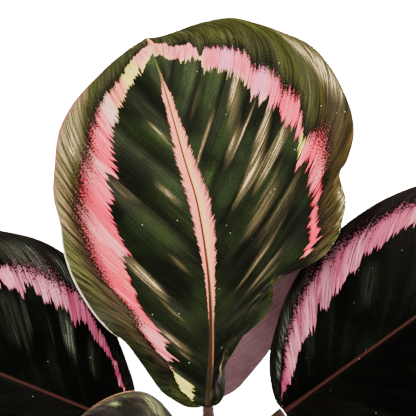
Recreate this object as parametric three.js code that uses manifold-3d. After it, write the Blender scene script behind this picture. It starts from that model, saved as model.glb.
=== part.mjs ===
// Potted calathea: eleven broad leaves on thin stalks, which stand in the soil of a plain clay pot.
// Millimetres, +Z up, the viewer's side is -Y, and the origin is the centre of the pot's flat underside.

import * as THREE from "three";
import { mergeVertices } from "three/addons/utils/BufferGeometryUtils.js";
import Module from "manifold-3d";

const wasm = await Module();
wasm.setup();

// ---- driving dimensions ----

const gap = 0.3; // left between pieces that touch

const potHeight = 120;
const potRimRadius = 65;
const potRimHeight = 22;
const potBaseRadius = 47;
const potWall = 4.5;
const potFloor = 8;
const drainRadius = 5;
const drainCircle = 24; // radius of the circle that the drain holes stand on
const drainCount = 4;

const soilTop = 108; // height of the soil at the pot's wall
const soilDome = 4; // how much higher it is in the middle
const rootDepth = 22; // how deep a stalk stands in its hole

const bladeThickness = 0.8;
const stalkFoot = 3.4; // radius in the soil
const stalkNeck = 2.3; // radius at half height
const pulvinus = 2.6; // radius of the swelling below the blade
const pulvinusLength = 20;
const stalkDrop = 1; // how far the stalk's end lies below the middle of the blade's thickness
const ridgeWidth = 1.6; // half width of the midrib's ridge under the blade
const ridgeDepth = 2.6; // how far it stands out at the blade's base

// ---- leaf outlines ----

// Half outlines as [share of the length, share of the half width], from the base to the tip.
const roundBase = [
  [0, 0.12], [0.02, 0.28], [0.055, 0.45], [0.11, 0.61], [0.19, 0.8], [0.29, 0.94], [0.42, 1],
  [0.56, 0.98], [0.69, 0.88], [0.81, 0.69], [0.9, 0.45], [0.96, 0.22], [1, 0],
];
const narrowBase = [
  [0.01, 0.12], [0.045, 0.27], [0.11, 0.42], [0.19, 0.59], [0.3, 0.8], [0.4, 0.94], [0.51, 1],
  [0.63, 0.96], [0.75, 0.83], [0.86, 0.6], [0.95, 0.28], [1, 0],
];
const fullBase = [
  [0.01, 0.13], [0.035, 0.27], [0.08, 0.41], [0.15, 0.6], [0.24, 0.81], [0.34, 0.95], [0.45, 1],
  [0.58, 0.96], [0.7, 0.86], [0.82, 0.66], [0.92, 0.38], [1, 0],
];

// The main leaf's two margins and its midrib as [across, along], in millimetres from the blade's base.
const mainLeftMargin = [
  [-6, -0.5], [-10.5, 0.2], [-15.5, 3], [-22, 8], [-31, 21], [-37, 29], [-44.5, 35], [-52, 43.5],
  [-60.5, 57], [-65.5, 71], [-67, 83], [-69.5, 95], [-68.8, 108], [-66.8, 124], [-60, 138],
  [-48, 151.5], [-37.5, 160.5], [-31, 164.8], [-28, 167],
];
const mainRightMargin = [
  [5.5, 2], [7.5, 7], [8.2, 20], [9, 28], [17.5, 33.8], [25.2, 40], [29.4, 48], [29.8, 56], [31, 59],
  [37, 60.2], [50.5, 67], [57.5, 75.5], [60.3, 84], [61.8, 93.5], [59.6, 105], [63, 111.5],
  [65.8, 122], [65, 133], [61, 144], [54.5, 155], [45.5, 164], [31, 170.2], [18.5, 174.2], [9, 176],
  [-4, 173.7], [-16.7, 169.2], [-24, 167], [-28, 167],
];
const mainMidrib = [
  [0, 0], [1.4, 30], [0.2, 59], [-4.5, 90], [-10.5, 111], [-18.5, 139.5], [-23, 154], [-28, 167],
];

// ---- leaves ----

// foot: where the stalk stands in the soil. base: where the blade starts. axis: the way its midrib leaves.
// facing: the way its upper side looks. halves: its half widths to the left and right of the midrib, seen
// from above with the tip up. bend: how far the midrib turns down from base to tip, in radians. fold: how
// steeply the halves rise from the midrib. wave: the height of the margin's waves, and waves their number.
// dents: places where the margin curls back, as shares of its length, with their depth.
const leaves = [
  {
    name: "main",
    foot: [0, 4], base: [0, 15, 245], axis: [0, 0.4226, 0.9063], facing: [0, -0.9063, 0.4226],
    length: 167, halves: [69, 66], bend: 0.06, fold: 0.05,
    wave: 4, waves: 2.5, phase: 0.15,
    margins: [mainLeftMargin, mainRightMargin], midrib: mainMidrib, rows: 30,
    dents: [
      { side: 1, at: 0.07, reach: 0.05, depth: 12 },
      { side: 1, at: 0.25, reach: 0.035, depth: 8 },
      { side: 1, at: 0.482, reach: 0.035, depth: 6 },
    ],
  },
  {
    name: "left",
    foot: [-15, 8], base: [-35, 21, 230], axis: [-0.912, 0.078, 0.403], facing: [0, -0.76, 0.65],
    length: 160, halves: [52, 62], shape: fullBase, bend: 0.35, fold: 0.2,
    wave: 3, waves: 2.5, phase: 0.3,
  },
  {
    name: "right",
    foot: [14, 11], base: [35, 29, 233], axis: [0.803, 0.2, 0.56], facing: [0, -0.8, 0.6],
    length: 172, halves: [53, 50], bend: 0.3, fold: 0.15,
    wave: 3, waves: 2.5, phase: 0.6,
  },
  {
    name: "back",
    foot: [0, 34], base: [0, 75, 209], axis: [-0.17, 0.02, 0.985], facing: [0.3, 0.94, 0.1],
    length: 140, halves: [59, 34], shape: narrowBase, bend: 0.1, fold: 0.1,
    wave: 2, waves: 2, phase: 0.1,
  },
  {
    name: "small",
    foot: [-4, -10], base: [-8, -18, 245], axis: [-0.8, -0.5, 0.3], facing: [-0.1, -0.6, 0.8],
    length: 58, halves: [22, 27], bend: 0.9, fold: 0.25,
    wave: 2, waves: 2, phase: 0.55,
  },
  {
    name: "front",
    foot: [5, -24], base: [10, -44, 212], axis: [0.2, -0.93, 0.3], facing: [0, 0.1, 1],
    length: 142, halves: [50, 50], bend: 0.7, fold: 0.12,
    wave: 4, waves: 3, phase: 0.2,
  },
  {
    name: "front_right",
    foot: [21, -9], base: [46, -16, 206], axis: [0.85, -0.45, 0.28], facing: [-0.1, -0.25, 1],
    length: 136, halves: [48, 48], bend: 0.6, fold: 0.12,
    wave: 4, waves: 3, phase: 0.7,
  },
  {
    name: "front_left",
    foot: [-19, -14], base: [-44, -24, 186], axis: [-0.78, -0.58, 0.22], facing: [0, -0.2, 1],
    length: 134, halves: [46, 46], bend: 0.6, fold: 0.12,
    wave: 4, waves: 3, phase: 0.4,
  },
  {
    name: "back_left",
    foot: [-20, 26], base: [-38, 50, 186], axis: [-0.72, 0.62, 0.3], facing: [0, 0.25, 1],
    length: 132, halves: [47, 47], bend: 0.6, fold: 0.12,
    wave: 4, waves: 3, phase: 0.9,
  },
  {
    name: "back_right",
    foot: [19, 28], base: [46, 56, 168], axis: [0.76, 0.6, 0.2], facing: [0, 0.2, 1],
    length: 136, halves: [48, 48], bend: 0.6, fold: 0.12,
    wave: 4, waves: 3, phase: 0.05,
  },
  {
    name: "rear",
    foot: [5, 44], base: [4, 84, 156], axis: [0.06, 0.98, 0.05], facing: [0, 0, 1],
    length: 114, halves: [42, 42], bend: 0.9, fold: 0.1,
    wave: 3, waves: 3, phase: 0.5,
  },
];

// ---- materials ----

const bladeGreen = new THREE.MeshStandardMaterial({ color: 0x24351f, roughness: 0.35 });
const stalkRed = new THREE.MeshStandardMaterial({ color: 0x6a3a32, roughness: 0.5 });
const clay = new THREE.MeshStandardMaterial({ color: 0xb0643f, roughness: 0.85 });
const earth = new THREE.MeshStandardMaterial({ color: 0x33251c, roughness: 0.95 });

// ---- solids ----

function toManifold(geometry) {
  geometry.deleteAttribute("normal");
  geometry.deleteAttribute("uv");
  const merged = mergeVertices(geometry, 1e-3);
  const mesh = new wasm.Mesh({
    numProp: 3,
    vertProperties: Float32Array.from(merged.attributes.position.array),
    triVerts: Uint32Array.from(merged.index.array),
  });
  return new wasm.Manifold(mesh);
}

function toGeometry(solid) {
  const mesh = solid.getMesh();
  const geometry = new THREE.BufferGeometry();
  geometry.setAttribute("position", new THREE.BufferAttribute(mesh.vertProperties, 3));
  geometry.setIndex(new THREE.BufferAttribute(mesh.triVerts, 1));
  geometry.computeVertexNormals();
  return geometry;
}

// A lathe about Z from a profile of [radius, height].
function turned(profile, sides) {
  const points = profile.map(([radius, height]) => new THREE.Vector2(radius, height));
  return new THREE.LatheGeometry(points, sides).rotateX(Math.PI / 2);
}

// An upright cylinder between two heights.
function upright(radius, low, high, x, y, sides) {
  const geometry = new THREE.CylinderGeometry(radius, radius, high - low, sides);
  return geometry.rotateX(Math.PI / 2).translate(x, y, (low + high) / 2);
}

function indexed(points, triangles) {
  const geometry = new THREE.BufferGeometry();
  const numbers = points.flatMap((point) => point.toArray());
  geometry.setAttribute("position", new THREE.Float32BufferAttribute(numbers, 3));
  geometry.setIndex(triangles.flat());
  geometry.computeVertexNormals();
  return geometry;
}

// ---- blade ----

function spline(points) {
  return new THREE.SplineCurve(points.map(([across, along]) => new THREE.Vector2(across, along)));
}

// The margin of one half: side is -1 for the left and 1 for the right.
function marginOf(leaf, side) {
  const start = [side * 2.2, 0];
  if (leaf.margins) return spline([start, ...leaf.margins[side < 0 ? 0 : 1]]);
  const half = leaf.halves[side < 0 ? 0 : 1];
  const shape = leaf.shape ?? roundBase;
  return spline([start, ...shape.map(([along, across]) => [side * across * half, along * leaf.length])]);
}

// One side vein: it leaves the midrib at about 45 degrees and bends towards the tip beside the margin.
function veinOf(midrib, margin, side, t) {
  const from = midrib.getPointAt(t ** 1.7);
  const to = margin.getPointAt(t);
  const reach = from.distanceTo(to) * 0.35;
  const away = midrib.getTangentAt(t ** 1.7).rotateAround(new THREE.Vector2(), (-side * Math.PI) / 4);
  const before = margin.getPointAt(Math.max(t - 0.06, 0));
  const after = margin.getPointAt(Math.min(t + 0.06, 1));
  const along = after.sub(before).normalize();
  const outward = new THREE.Vector2(side * along.y, -side * along.x);
  const arriving = along.addScaledVector(outward, 0.6).normalize();
  return new THREE.CubicBezierCurve(
    from,
    from.clone().addScaledVector(away, reach),
    to.clone().addScaledVector(arriving, -reach),
    to,
  );
}

// How far the blade stands out of its plane at share v of the way from the midrib to the margin.
function heightOf(leaf, side, t, v, across) {
  const swing = 2 * Math.PI * (leaf.waves * t + leaf.phase + (side < 0 ? 0.37 : 0));
  const ripple = leaf.wave * v ** 2.5 * Math.sin(Math.PI * t) * Math.sin(swing);
  let height = leaf.fold * Math.abs(across) + ripple;
  for (const dent of leaf.dents ?? []) {
    if (dent.side === side) {
      height -= dent.depth * v ** 4 * Math.exp(-(((t - dent.at) / dent.reach) ** 2));
    }
  }
  return height;
}

// Rolls the flat blade back along an arc, so that its tip droops.
function bent(leaf, across, along, height) {
  if (leaf.bend === 0) return [across, along, height];
  const radius = leaf.length / leaf.bend;
  const turn = along / radius;
  return [across, (radius + height) * Math.sin(turn), (radius + height) * Math.cos(turn) - radius];
}

function frameOf(leaf) {
  const along = new THREE.Vector3(...leaf.axis).normalize();
  const facing = new THREE.Vector3(...leaf.facing);
  const across = along.clone().cross(facing).normalize();
  const up = across.clone().cross(along);
  return new THREE.Matrix4().makeBasis(across, along, up).setPosition(...leaf.base);
}

// Shares of a vein's length at which the blade has its columns, after the one at the ridge's edge.
const columns = [0.28, 0.55, 0.8, 1];

function bladeOf(leaf) {
  const rows = leaf.rows ?? 15;
  const midrib = spline(leaf.midrib ?? [[0, 0], [0, leaf.length / 2], [0, leaf.length]]);
  const margins = { [-1]: marginOf(leaf, -1), 1: marginOf(leaf, 1) };
  const place = frameOf(leaf);
  const points = [];
  const depths = []; // of the ridge below each point
  const put = (side, t, v, flat) => {
    const height = heightOf(leaf, side, t, v, flat.x);
    points.push(new THREE.Vector3(...bent(leaf, flat.x, flat.y, height)).applyMatrix4(place));
    depths.push(v === 0 ? ridgeDepth * (1 - t) ** 0.8 : 0);
  };
  for (let row = 0; row < rows; row++) {
    const t = row / rows;
    for (const side of [-1, 1]) {
      const vein = veinOf(midrib, margins[side], side, t);
      const edge = Math.min(ridgeWidth / vein.getLength(), 0.12 + 0.4 * (row === 0));
      const shares = [edge, ...columns.filter((share) => share > edge + 0.02)];
      while (shares.length <= columns.length) shares.splice(1, 0, (shares[0] + shares[1]) / 2);
      if (side < 0) shares.reverse();
      if (side > 0) put(side, t, 0, midrib.getPointAt(t ** 1.7));
      for (const share of shares) put(side, t, share, vein.getPoint(share));
    }
  }
  put(1, 1, 0, midrib.getPointAt(1));
  const width = 2 * columns.length + 3;
  const triangles = [];
  for (let row = 0; row + 1 < rows; row++) {
    for (let column = 0; column + 1 < width; column++) {
      const a = row * width + column;
      const b = a + width;
      const leftHalf = column < (width - 1) / 2;
      if (leftHalf) triangles.push([a, a + 1, b], [a + 1, b + 1, b]);
      else triangles.push([a, a + 1, b + 1], [a, b + 1, b]);
    }
  }
  const last = (rows - 1) * width;
  for (let column = 0; column + 1 < width; column++) {
    triangles.push([last + column, last + column + 1, rows * width]);
  }
  return thickened(points, triangles, depths);
}

// Gives a sheet its thickness: both faces have the same triangles, and the rim joins them.
function thickened(points, triangles, depths) {
  const normals = indexed(points, triangles).attributes.normal;
  const normal = new THREE.Vector3();
  const upper = [];
  const lower = [];
  points.forEach((point, i) => {
    normal.fromBufferAttribute(normals, i);
    upper.push(point.clone().addScaledVector(normal, bladeThickness / 2));
    lower.push(point.clone().addScaledVector(normal, -bladeThickness / 2 - depths[i]));
  });
  const count = points.length;
  const faces = [...triangles, ...triangles.map(([a, b, c]) => [a + count, c + count, b + count])];
  const edges = new Set(triangles.flatMap(([a, b, c]) => [`${a} ${b}`, `${b} ${c}`, `${c} ${a}`]));
  for (const edge of edges) {
    const [a, b] = edge.split(" ").map(Number);
    if (!edges.has(`${b} ${a}`)) faces.push([b, a, a + count], [b, a + count, b + count]);
  }
  return indexed([...upper, ...lower], faces);
}

// ---- stalk ----

// Height of the soil's surface at a distance from the pot's axis.
function soilHeight(distance) {
  return soilTop + soilDome * (1 - (distance / (potRimRadius - potWall)) ** 2);
}

// The stalk stands upright in its hole and bends over until it runs into the blade's midrib.
function stalkPath(leaf) {
  const [x, y] = leaf.foot;
  const foot = new THREE.Vector3(x, y, soilHeight(Math.hypot(x, y)) + 2);
  const axis = new THREE.Vector3(...leaf.axis).normalize();
  const up = new THREE.Vector3().setFromMatrixColumn(frameOf(leaf), 2);
  const top = new THREE.Vector3(...leaf.base).addScaledVector(axis, -gap);
  top.addScaledVector(up, -stalkDrop);
  const rise = foot.distanceTo(top);
  const control = foot.clone().setZ(foot.z + rise * 0.4);
  return new THREE.CubicBezierCurve3(foot, control, top.clone().addScaledVector(axis, -rise * 0.3), top);
}

function stalkOf(leaf) {
  const sides = 8;
  const rings = 12;
  const path = stalkPath(leaf);
  const length = path.getLength();
  const frames = path.computeFrenetFrames(rings);
  const points = [];
  const ring = (centre, normal, binormal, radius) => {
    for (let side = 0; side < sides; side++) {
      const turn = (2 * Math.PI * side) / sides;
      const point = centre.clone().addScaledVector(normal, radius * Math.cos(turn));
      points.push(point.addScaledVector(binormal, radius * Math.sin(turn)));
    }
  };
  const foot = path.getPointAt(0);
  const bottom = foot.clone().setZ(foot.z - 2 - rootDepth);
  ring(bottom, frames.normals[0], frames.binormals[0], stalkFoot);
  for (let i = 0; i <= rings; i++) {
    const left = length * (1 - i / rings);
    const taper = THREE.MathUtils.smoothstep(i / rings, 0, 0.6);
    const slender = THREE.MathUtils.lerp(stalkFoot, stalkNeck, taper);
    const radius = left < pulvinusLength ? pulvinus : slender;
    ring(path.getPointAt(i / rings), frames.normals[i], frames.binormals[i], radius);
  }
  const triangles = [];
  for (let i = 0; i <= rings; i++) {
    for (let side = 0; side < sides; side++) {
      const a = i * sides + side;
      const b = i * sides + ((side + 1) % sides);
      triangles.push([a, b, b + sides], [a, b + sides, a + sides]);
    }
  }
  points.push(bottom, path.getPointAt(1));
  const end = (rings + 1) * sides;
  for (let side = 0; side < sides; side++) {
    const next = (side + 1) % sides;
    triangles.push([next, side, points.length - 2], [end + side, end + next, points.length - 1]);
  }
  return indexed(points, triangles);
}

// ---- pot and soil ----

// Radius of the pot's outside below the rim, and of its inside, at a height.
const potOutside = (height) => potBaseRadius + ((potRimRadius - 4 - potBaseRadius) * height) / potHeight;
const potInside = (height) => potOutside(height) - potWall;

function potSolid() {
  const rimLow = potHeight - potRimHeight;
  const profile = [
    [0, 0], [potBaseRadius - 1.5, 0], [potOutside(1.5), 1.5], [potOutside(rimLow), rimLow],
    [potRimRadius - 1.5, rimLow + 1], [potRimRadius, rimLow + 3], [potRimRadius, potHeight - 2],
    [potRimRadius - 1, potHeight - 0.5], [potRimRadius - 3, potHeight],
    [potInside(potHeight) + 2, potHeight], [potInside(potHeight - 2), potHeight - 2],
    [potInside(potFloor), potFloor], [0, potFloor],
  ];
  let solid = toManifold(turned(profile, 48));
  for (let i = 0; i < drainCount; i++) {
    const turn = (2 * Math.PI * i) / drainCount;
    const [x, y] = [drainCircle * Math.cos(turn), drainCircle * Math.sin(turn)];
    solid = solid.subtract(toManifold(upright(drainRadius, -1, potFloor + 1, x, y, 12)));
  }
  return toGeometry(solid);
}

function soilSolid() {
  const floor = potFloor + gap;
  const rings = [1, 0.85, 0.6, 0.3, 0].map((share) => {
    const radius = share * (potInside(soilTop) - gap);
    return [radius, soilHeight(radius) - soilHeight(potInside(soilTop)) + soilTop];
  });
  let solid = toManifold(turned([[0, floor], [potInside(floor) - gap, floor], ...rings], 48));
  for (const { foot: [x, y] } of leaves) {
    const low = soilHeight(Math.hypot(x, y)) - rootDepth - gap;
    const radius = (stalkFoot + gap) / Math.cos(Math.PI / 12);
    solid = solid.subtract(toManifold(upright(radius, low, soilTop + 20, x, y, 12)));
  }
  return toGeometry(solid);
}

// ---- assembly ----

const plant = new THREE.Group();

function add(name, geometry, material) {
  const mesh = new THREE.Mesh(geometry, material);
  mesh.name = name;
  plant.add(mesh);
}

add("pot", potSolid(), clay);
add("soil", soilSolid(), earth);
for (const leaf of leaves) {
  add(`${leaf.name}_blade`, bladeOf(leaf), bladeGreen);
  add(`${leaf.name}_stalk`, stalkOf(leaf), stalkRed);
}

export default plant;
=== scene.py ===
import math
import bmesh
import bpy
import numpy as np
from mathutils import Matrix, Vector
from mathutils.kdtree import KDTree


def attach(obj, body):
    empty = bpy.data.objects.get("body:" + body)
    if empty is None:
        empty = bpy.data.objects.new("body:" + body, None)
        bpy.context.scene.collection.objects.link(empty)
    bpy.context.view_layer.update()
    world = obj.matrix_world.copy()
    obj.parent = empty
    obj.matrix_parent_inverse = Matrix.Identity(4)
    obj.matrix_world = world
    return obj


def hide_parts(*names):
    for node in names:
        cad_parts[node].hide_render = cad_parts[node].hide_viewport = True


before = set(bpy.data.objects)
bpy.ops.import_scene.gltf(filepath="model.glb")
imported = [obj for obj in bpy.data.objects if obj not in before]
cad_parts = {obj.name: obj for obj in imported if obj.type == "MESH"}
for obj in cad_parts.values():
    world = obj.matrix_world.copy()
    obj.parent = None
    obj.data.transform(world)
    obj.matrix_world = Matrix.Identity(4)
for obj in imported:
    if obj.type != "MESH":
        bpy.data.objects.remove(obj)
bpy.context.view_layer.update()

# Potted calathea: eleven broad leaves, their stalks, the soil and a plain clay pot.
# Lengths are in millimetres until a mesh is made, which turns them into metres.
metre = 0.001
mapUnit = 100  # mm that one unit of a leaf's or stalk's map stands for
fullTurn = 2 * math.pi

view = {
    "aim": (0.0, 52.8, 326.2),  # the point in the middle of the picture
    "lookingDown": 25,  # degrees
    "distance": 600,
    "lens": 115.4,
}


def linked(name, data):
    piece = bpy.data.objects.new(name, data)
    bpy.context.collection.objects.link(piece)
    return piece


def makeCamera():
    camera = linked("camera", bpy.data.cameras.new("camera"))
    down = math.radians(view["lookingDown"])
    back = Vector((0, -math.cos(down), math.sin(down)))
    camera.location = (Vector(view["aim"]) + back * view["distance"]) * metre
    camera.rotation_euler = (math.pi / 2 - down, 0, 0)
    camera.data.lens = view["lens"]
    camera.data.clip_end = 50
    bpy.context.scene.camera = camera


makeCamera()
print("camera placed")


class Wire:
    # one output of a finish's nodes; sums on it add Math nodes
    def __init__(self, finish, socket):
        self.finish = finish
        self.socket = socket

    def maths(self, operation, *values):
        return self.finish.node("Math", {"operation": operation}, dict(enumerate(values)))

    def __add__(self, other):
        return self.maths("ADD", self, other)

    def __radd__(self, other):
        return self.maths("ADD", other, self)

    def __sub__(self, other):
        return self.maths("SUBTRACT", self, other)

    def __rsub__(self, other):
        return self.maths("SUBTRACT", other, self)

    def __mul__(self, other):
        return self.maths("MULTIPLY", self, other)

    def __rmul__(self, other):
        return self.maths("MULTIPLY", other, self)

    def __truediv__(self, other):
        return self.maths("DIVIDE", self, other)

    def __gt__(self, other):
        return self.maths("GREATER_THAN", self, other)

    def __abs__(self):
        return self.maths("ABSOLUTE", self)


class Finish:
    # a material while its nodes are being laid out
    def __init__(self, name):
        self.material = bpy.data.materials.new(name)
        self.material.use_nodes = True
        self.tree = self.material.node_tree
        self.shader = next(node for node in self.tree.nodes if node.type == "BSDF_PRINCIPLED")

    def node(self, kind, settings=None, sockets=None, output=0):
        made = self.tree.nodes.new("ShaderNode" + kind)
        for setting, value in (settings or {}).items():
            if setting == "stops":
                self.setStops(made.color_ramp, value)
            else:
                setattr(made, setting, value)
        for socket, value in (sockets or {}).items():
            self.feed(made.inputs[socket], value)
        return Wire(self, made.outputs[output])

    def setStops(self, ramp, stops):
        while len(ramp.elements) < len(stops):
            ramp.elements.new(1.0)
        for element, (place, colour) in zip(ramp.elements, stops):
            element.position = place
            element.color = (*colour[:3], 1)

    def feed(self, socket, value):
        if isinstance(value, Wire):
            self.tree.links.new(value.socket, socket)
        elif socket.type == "RGBA":
            socket.default_value = (*value[:3], 1)
        else:
            socket.default_value = value

    def shade(self, **sockets):
        names = {name.replace(" ", "").lower(): name for name in self.shader.inputs.keys()}
        for socket, value in sockets.items():
            self.feed(self.shader.inputs[names[socket.lower()]], value)

    def parts(self, vector):
        return [self.node("SeparateXYZ", None, {0: vector}, axis) for axis in range(3)]

    def at(self, x, y, z=0.0):
        return self.node("CombineXYZ", None, {0: x, 1: y, 2: z})

    def place(self):
        # where a point is on its piece, in metres
        return self.node("TexCoord", None, None, 3)

    def map(self, name):
        return self.parts(self.node("UVMap", {"uv_map": name}))[:2]

    def noise(self, place, scale=1.0, detail=2.0, roughness=0.5):
        sockets = {"Vector": place, "Scale": scale, "Detail": detail, "Roughness": roughness}
        return self.node("TexNoise", None, sockets)

    def rise(self, value, low, high, start=0.0, end=1.0):
        # a smooth step of value from low to high
        sockets = {"Value": value, "From Min": low, "From Max": high, "To Min": start, "To Max": end}
        return self.node("MapRange", {"interpolation_type": "SMOOTHSTEP"}, sockets)

    def clip(self, value):
        return self.node("Clamp", None, {"Value": value})

    def mix(self, share, first, second, blend="MIX"):
        settings = {"data_type": "RGBA", "blend_type": blend}
        return self.node("Mix", settings, {0: share, 6: first, 7: second}, 2)

    def dim(self, colour, share):
        return self.mix(1.0, colour, self.at(share, share, share), "MULTIPLY")

    def coats(self, colour, *layers):
        # thin coats over a colour, each with its mask and its own colour
        for mask, tone in layers:
            colour = self.mix(mask, colour, tone)
        return colour

    def ramp(self, value, stops):
        # one ramp holds no more than 32 stops, so a longer table goes on in a second one
        most = 30
        if len(stops) <= most:
            return self.node("ValToRGB", {"stops": stops}, {0: value})
        later = self.ramp(value, stops[most - 1:])
        return self.mix(value > stops[most - 1][0], self.ramp(value, stops[:most]), later)

    def bump(self, height, distance):
        self.shade(normal=self.node("Bump", None, {"Height": height, "Distance": distance * metre}))


def meshOf(name, points, faces, smooth=True, maps=None):
    # points in mm; a map holds a place for each corner of each face
    mesh = bpy.data.meshes.new(name)
    mesh.from_pydata((np.array(points) * metre).tolist(), [], faces)
    for layer, places in (maps or {}).items():
        mesh.uv_layers.new(name=layer).data.foreach_set("uv", np.array(places, np.float32).ravel())
    mesh.polygons.foreach_set("use_smooth", np.full(len(faces), smooth))
    mesh.update()
    return mesh


def circle(radius, height, sides, x=0, y=0):
    turns = np.linspace(0, fullTurn, sides, endpoint=False)
    return [(x + radius * math.cos(turn), y + radius * math.sin(turn), height) for turn in turns]


def wallFaces(rings):
    # faces between rings of point numbers; a ring of one number again and again closes to a point
    faces = []
    for lower, upper in zip(rings, rings[1:]):
        for turn in range(len(lower)):
            after = (turn + 1) % len(lower)
            corners = lower[turn], lower[after], upper[after], upper[turn]
            faces.append(list(dict.fromkeys(corners)))
    return faces


def ringNumbers(sides, count, first=0):
    return [list(range(start, start + sides)) for start in range(first, first + count * sides, sides)]


def addPiece(name, mesh, node, slot, *materials):
    piece = linked(name, mesh)
    for material in materials:
        mesh.materials.append(material)
    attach(piece, "root")
    if node:
        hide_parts(node)
    return piece


# Half outlines as [share of the length, share of the half width], from the base to the tip.
roundBase = [
    (0, 0.12), (0.02, 0.28), (0.055, 0.45), (0.11, 0.61), (0.19, 0.8), (0.29, 0.94), (0.42, 1),
    (0.56, 0.98), (0.69, 0.88), (0.81, 0.69), (0.9, 0.45), (0.96, 0.22), (1, 0),
]
narrowBase = [
    (0.01, 0.12), (0.045, 0.27), (0.11, 0.42), (0.19, 0.59), (0.3, 0.8), (0.4, 0.94), (0.51, 1),
    (0.63, 0.96), (0.75, 0.83), (0.86, 0.6), (0.95, 0.28), (1, 0),
]
fullBase = [
    (0.01, 0.13), (0.035, 0.27), (0.08, 0.41), (0.15, 0.6), (0.24, 0.81), (0.34, 0.95), (0.45, 1),
    (0.58, 0.96), (0.7, 0.86), (0.82, 0.66), (0.92, 0.38), (1, 0),
]

# The main leaf's margins and midrib as (across, along) from the blade's base.
mainLeftMargin = [
    (-6, -0.5), (-10.5, 0.2), (-15.5, 3), (-22, 8), (-31, 21), (-37, 29), (-44.5, 35), (-52, 43.5),
    (-60.5, 57), (-65.5, 71), (-67, 83), (-69.5, 95), (-68.8, 108), (-66.8, 124), (-60, 138),
    (-48, 151.5), (-37.5, 160.5), (-31, 164.8), (-28, 167),
]
mainRightMargin = [
    (5.5, 2), (7.5, 7), (8.2, 20), (9, 28), (17.5, 33.8), (25.2, 40), (29.4, 48), (29.8, 56), (31, 59),
    (37, 60.2), (50.5, 67), (57.5, 75.5), (60.3, 84), (61.8, 93.5), (59.6, 105), (63, 111.5),
    (65.8, 122), (65, 133), (61, 144), (54.5, 155), (45.5, 164), (31, 170.2), (18.5, 174.2), (9, 176),
    (-4, 173.7), (-16.7, 169.2), (-24, 167), (-28, 167),
]
mainMidrib = [
    (0, 0), (1.4, 30), (0.2, 59), (-4.5, 90), (-10.5, 111), (-18.5, 139.5), (-23, 154), (-28, 167),
]

# Where side veins end: (share of the midrib, share of the margin, how straight they come in).
commonVeins = [
    (0, 0, 0.4), (0.02, 0.15, 0.4), (0.05, 0.3, 0.4), (0.1, 0.45, 0.4), (0.17, 0.58, 0.4),
    (0.26, 0.68, 0.4), (0.38, 0.77, 0.4), (0.5, 0.84, 0.4), (0.65, 0.91, 0.4), (0.8, 0.96, 0.4),
    (1, 1, 0.4),
]
mainLeftVeins = [
    (0, 0, 0.3), (0.02, 0.15, 0.3), (0.05, 0.3, 0.3), (0.1, 0.45, 0.3), (0.15, 0.56, 0.3),
    (0.2, 0.65, 0.3), (0.24, 0.71, 0.3), (0.3, 0.75, 0.3), (0.4, 0.79, 0.3), (0.5, 0.84, 0.3),
    (0.65, 0.91, 0.3), (0.8, 0.96, 0.3), (1, 1, 0.3),
]
mainRightVeins = [
    (0, 0, 0.1), (0.06, 0.1, 0.1), (0.12, 0.17, 0.1), (0.15, 0.215, 0.1), (0.17, 0.28, 0.1),
    (0.185, 0.42, 0.1), (0.205, 0.6, 0.12), (0.235, 0.72, 0.25), (0.28, 0.775, 0.38),
    (0.385, 0.82, 0.4), (0.45, 0.855, 0.4), (0.6, 0.92, 0.4), (0.8, 0.97, 0.4), (1, 1, 0.4),
]

# The coloured ring: (mm across the side veins, inner edge, outer edge, how fuzzy outside), the edges as
# shares of the way from midrib to margin.
mainLeftRing = [
    (4.4, 0.44, 0.44, 0), (9, 0.25, 0.45, 0), (10.5, 0.24, 0.45, 0), (11.2, 0.28, 0.44, 0),
    (14.5, 0.2, 0.42, 0), (17, 0.17, 0.43, 0), (19, 0.15, 0.42, 0), (19.4, 0.4, 0.41, 0.1),
    (20.4, 0.42, 0.43, 0.2), (22.5, 0.38, 0.42, 0.3), (23.6, 0.32, 0.455, 0.4), (25.7, 0.24, 0.467, 0.5),
    (26.5, 0.21, 0.475, 0.5), (27, 0.31, 0.485, 0.6), (29, 0.29, 0.48, 0.7), (31, 0.255, 0.462, 0.8),
    (33.2, 0.29, 0.457, 0.9), (34.3, 0.34, 0.54, 1), (36.2, 0.385, 0.64, 1), (39.5, 0.402, 0.72, 1),
    (42, 0.425, 0.733, 1), (48.3, 0.46, 0.76, 1), (52.7, 0.45, 0.762, 0.8), (53.2, 0.43, 0.76, 0.8),
    (56.5, 0.48, 0.745, 0.8), (59.3, 0.523, 0.725, 0.9), (62.5, 0.505, 0.715, 0.9),
    (65.9, 0.555, 0.695, 0.9), (68.6, 0.54, 0.69, 0.8), (69.2, 0.49, 0.69, 0.8),
    (70.6, 0.51, 0.705, 0.7), (73.2, 0.538, 0.73, 0.7), (78.7, 0.579, 0.741, 0.6),
    (81.6, 0.604, 0.773, 0.5), (86.3, 0.59, 0.776, 0.4), (89.7, 0.603, 0.77, 0.3),
    (94.2, 0.591, 0.75, 0.3), (97.1, 0.603, 0.742, 0.3), (101, 0.58, 0.741, 0.3),
    (104, 0.56, 0.755, 0.2), (108, 0.537, 0.745, 0.2), (110.7, 0.49, 0.724, 0.1),
    (112.7, 0.427, 0.67, 0.1), (114.5, 0.3, 0.607, 0.1), (115.9, 0.17, 0.4, 0.1), (117.7, 0, 0.1, 0.1),
]
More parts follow.
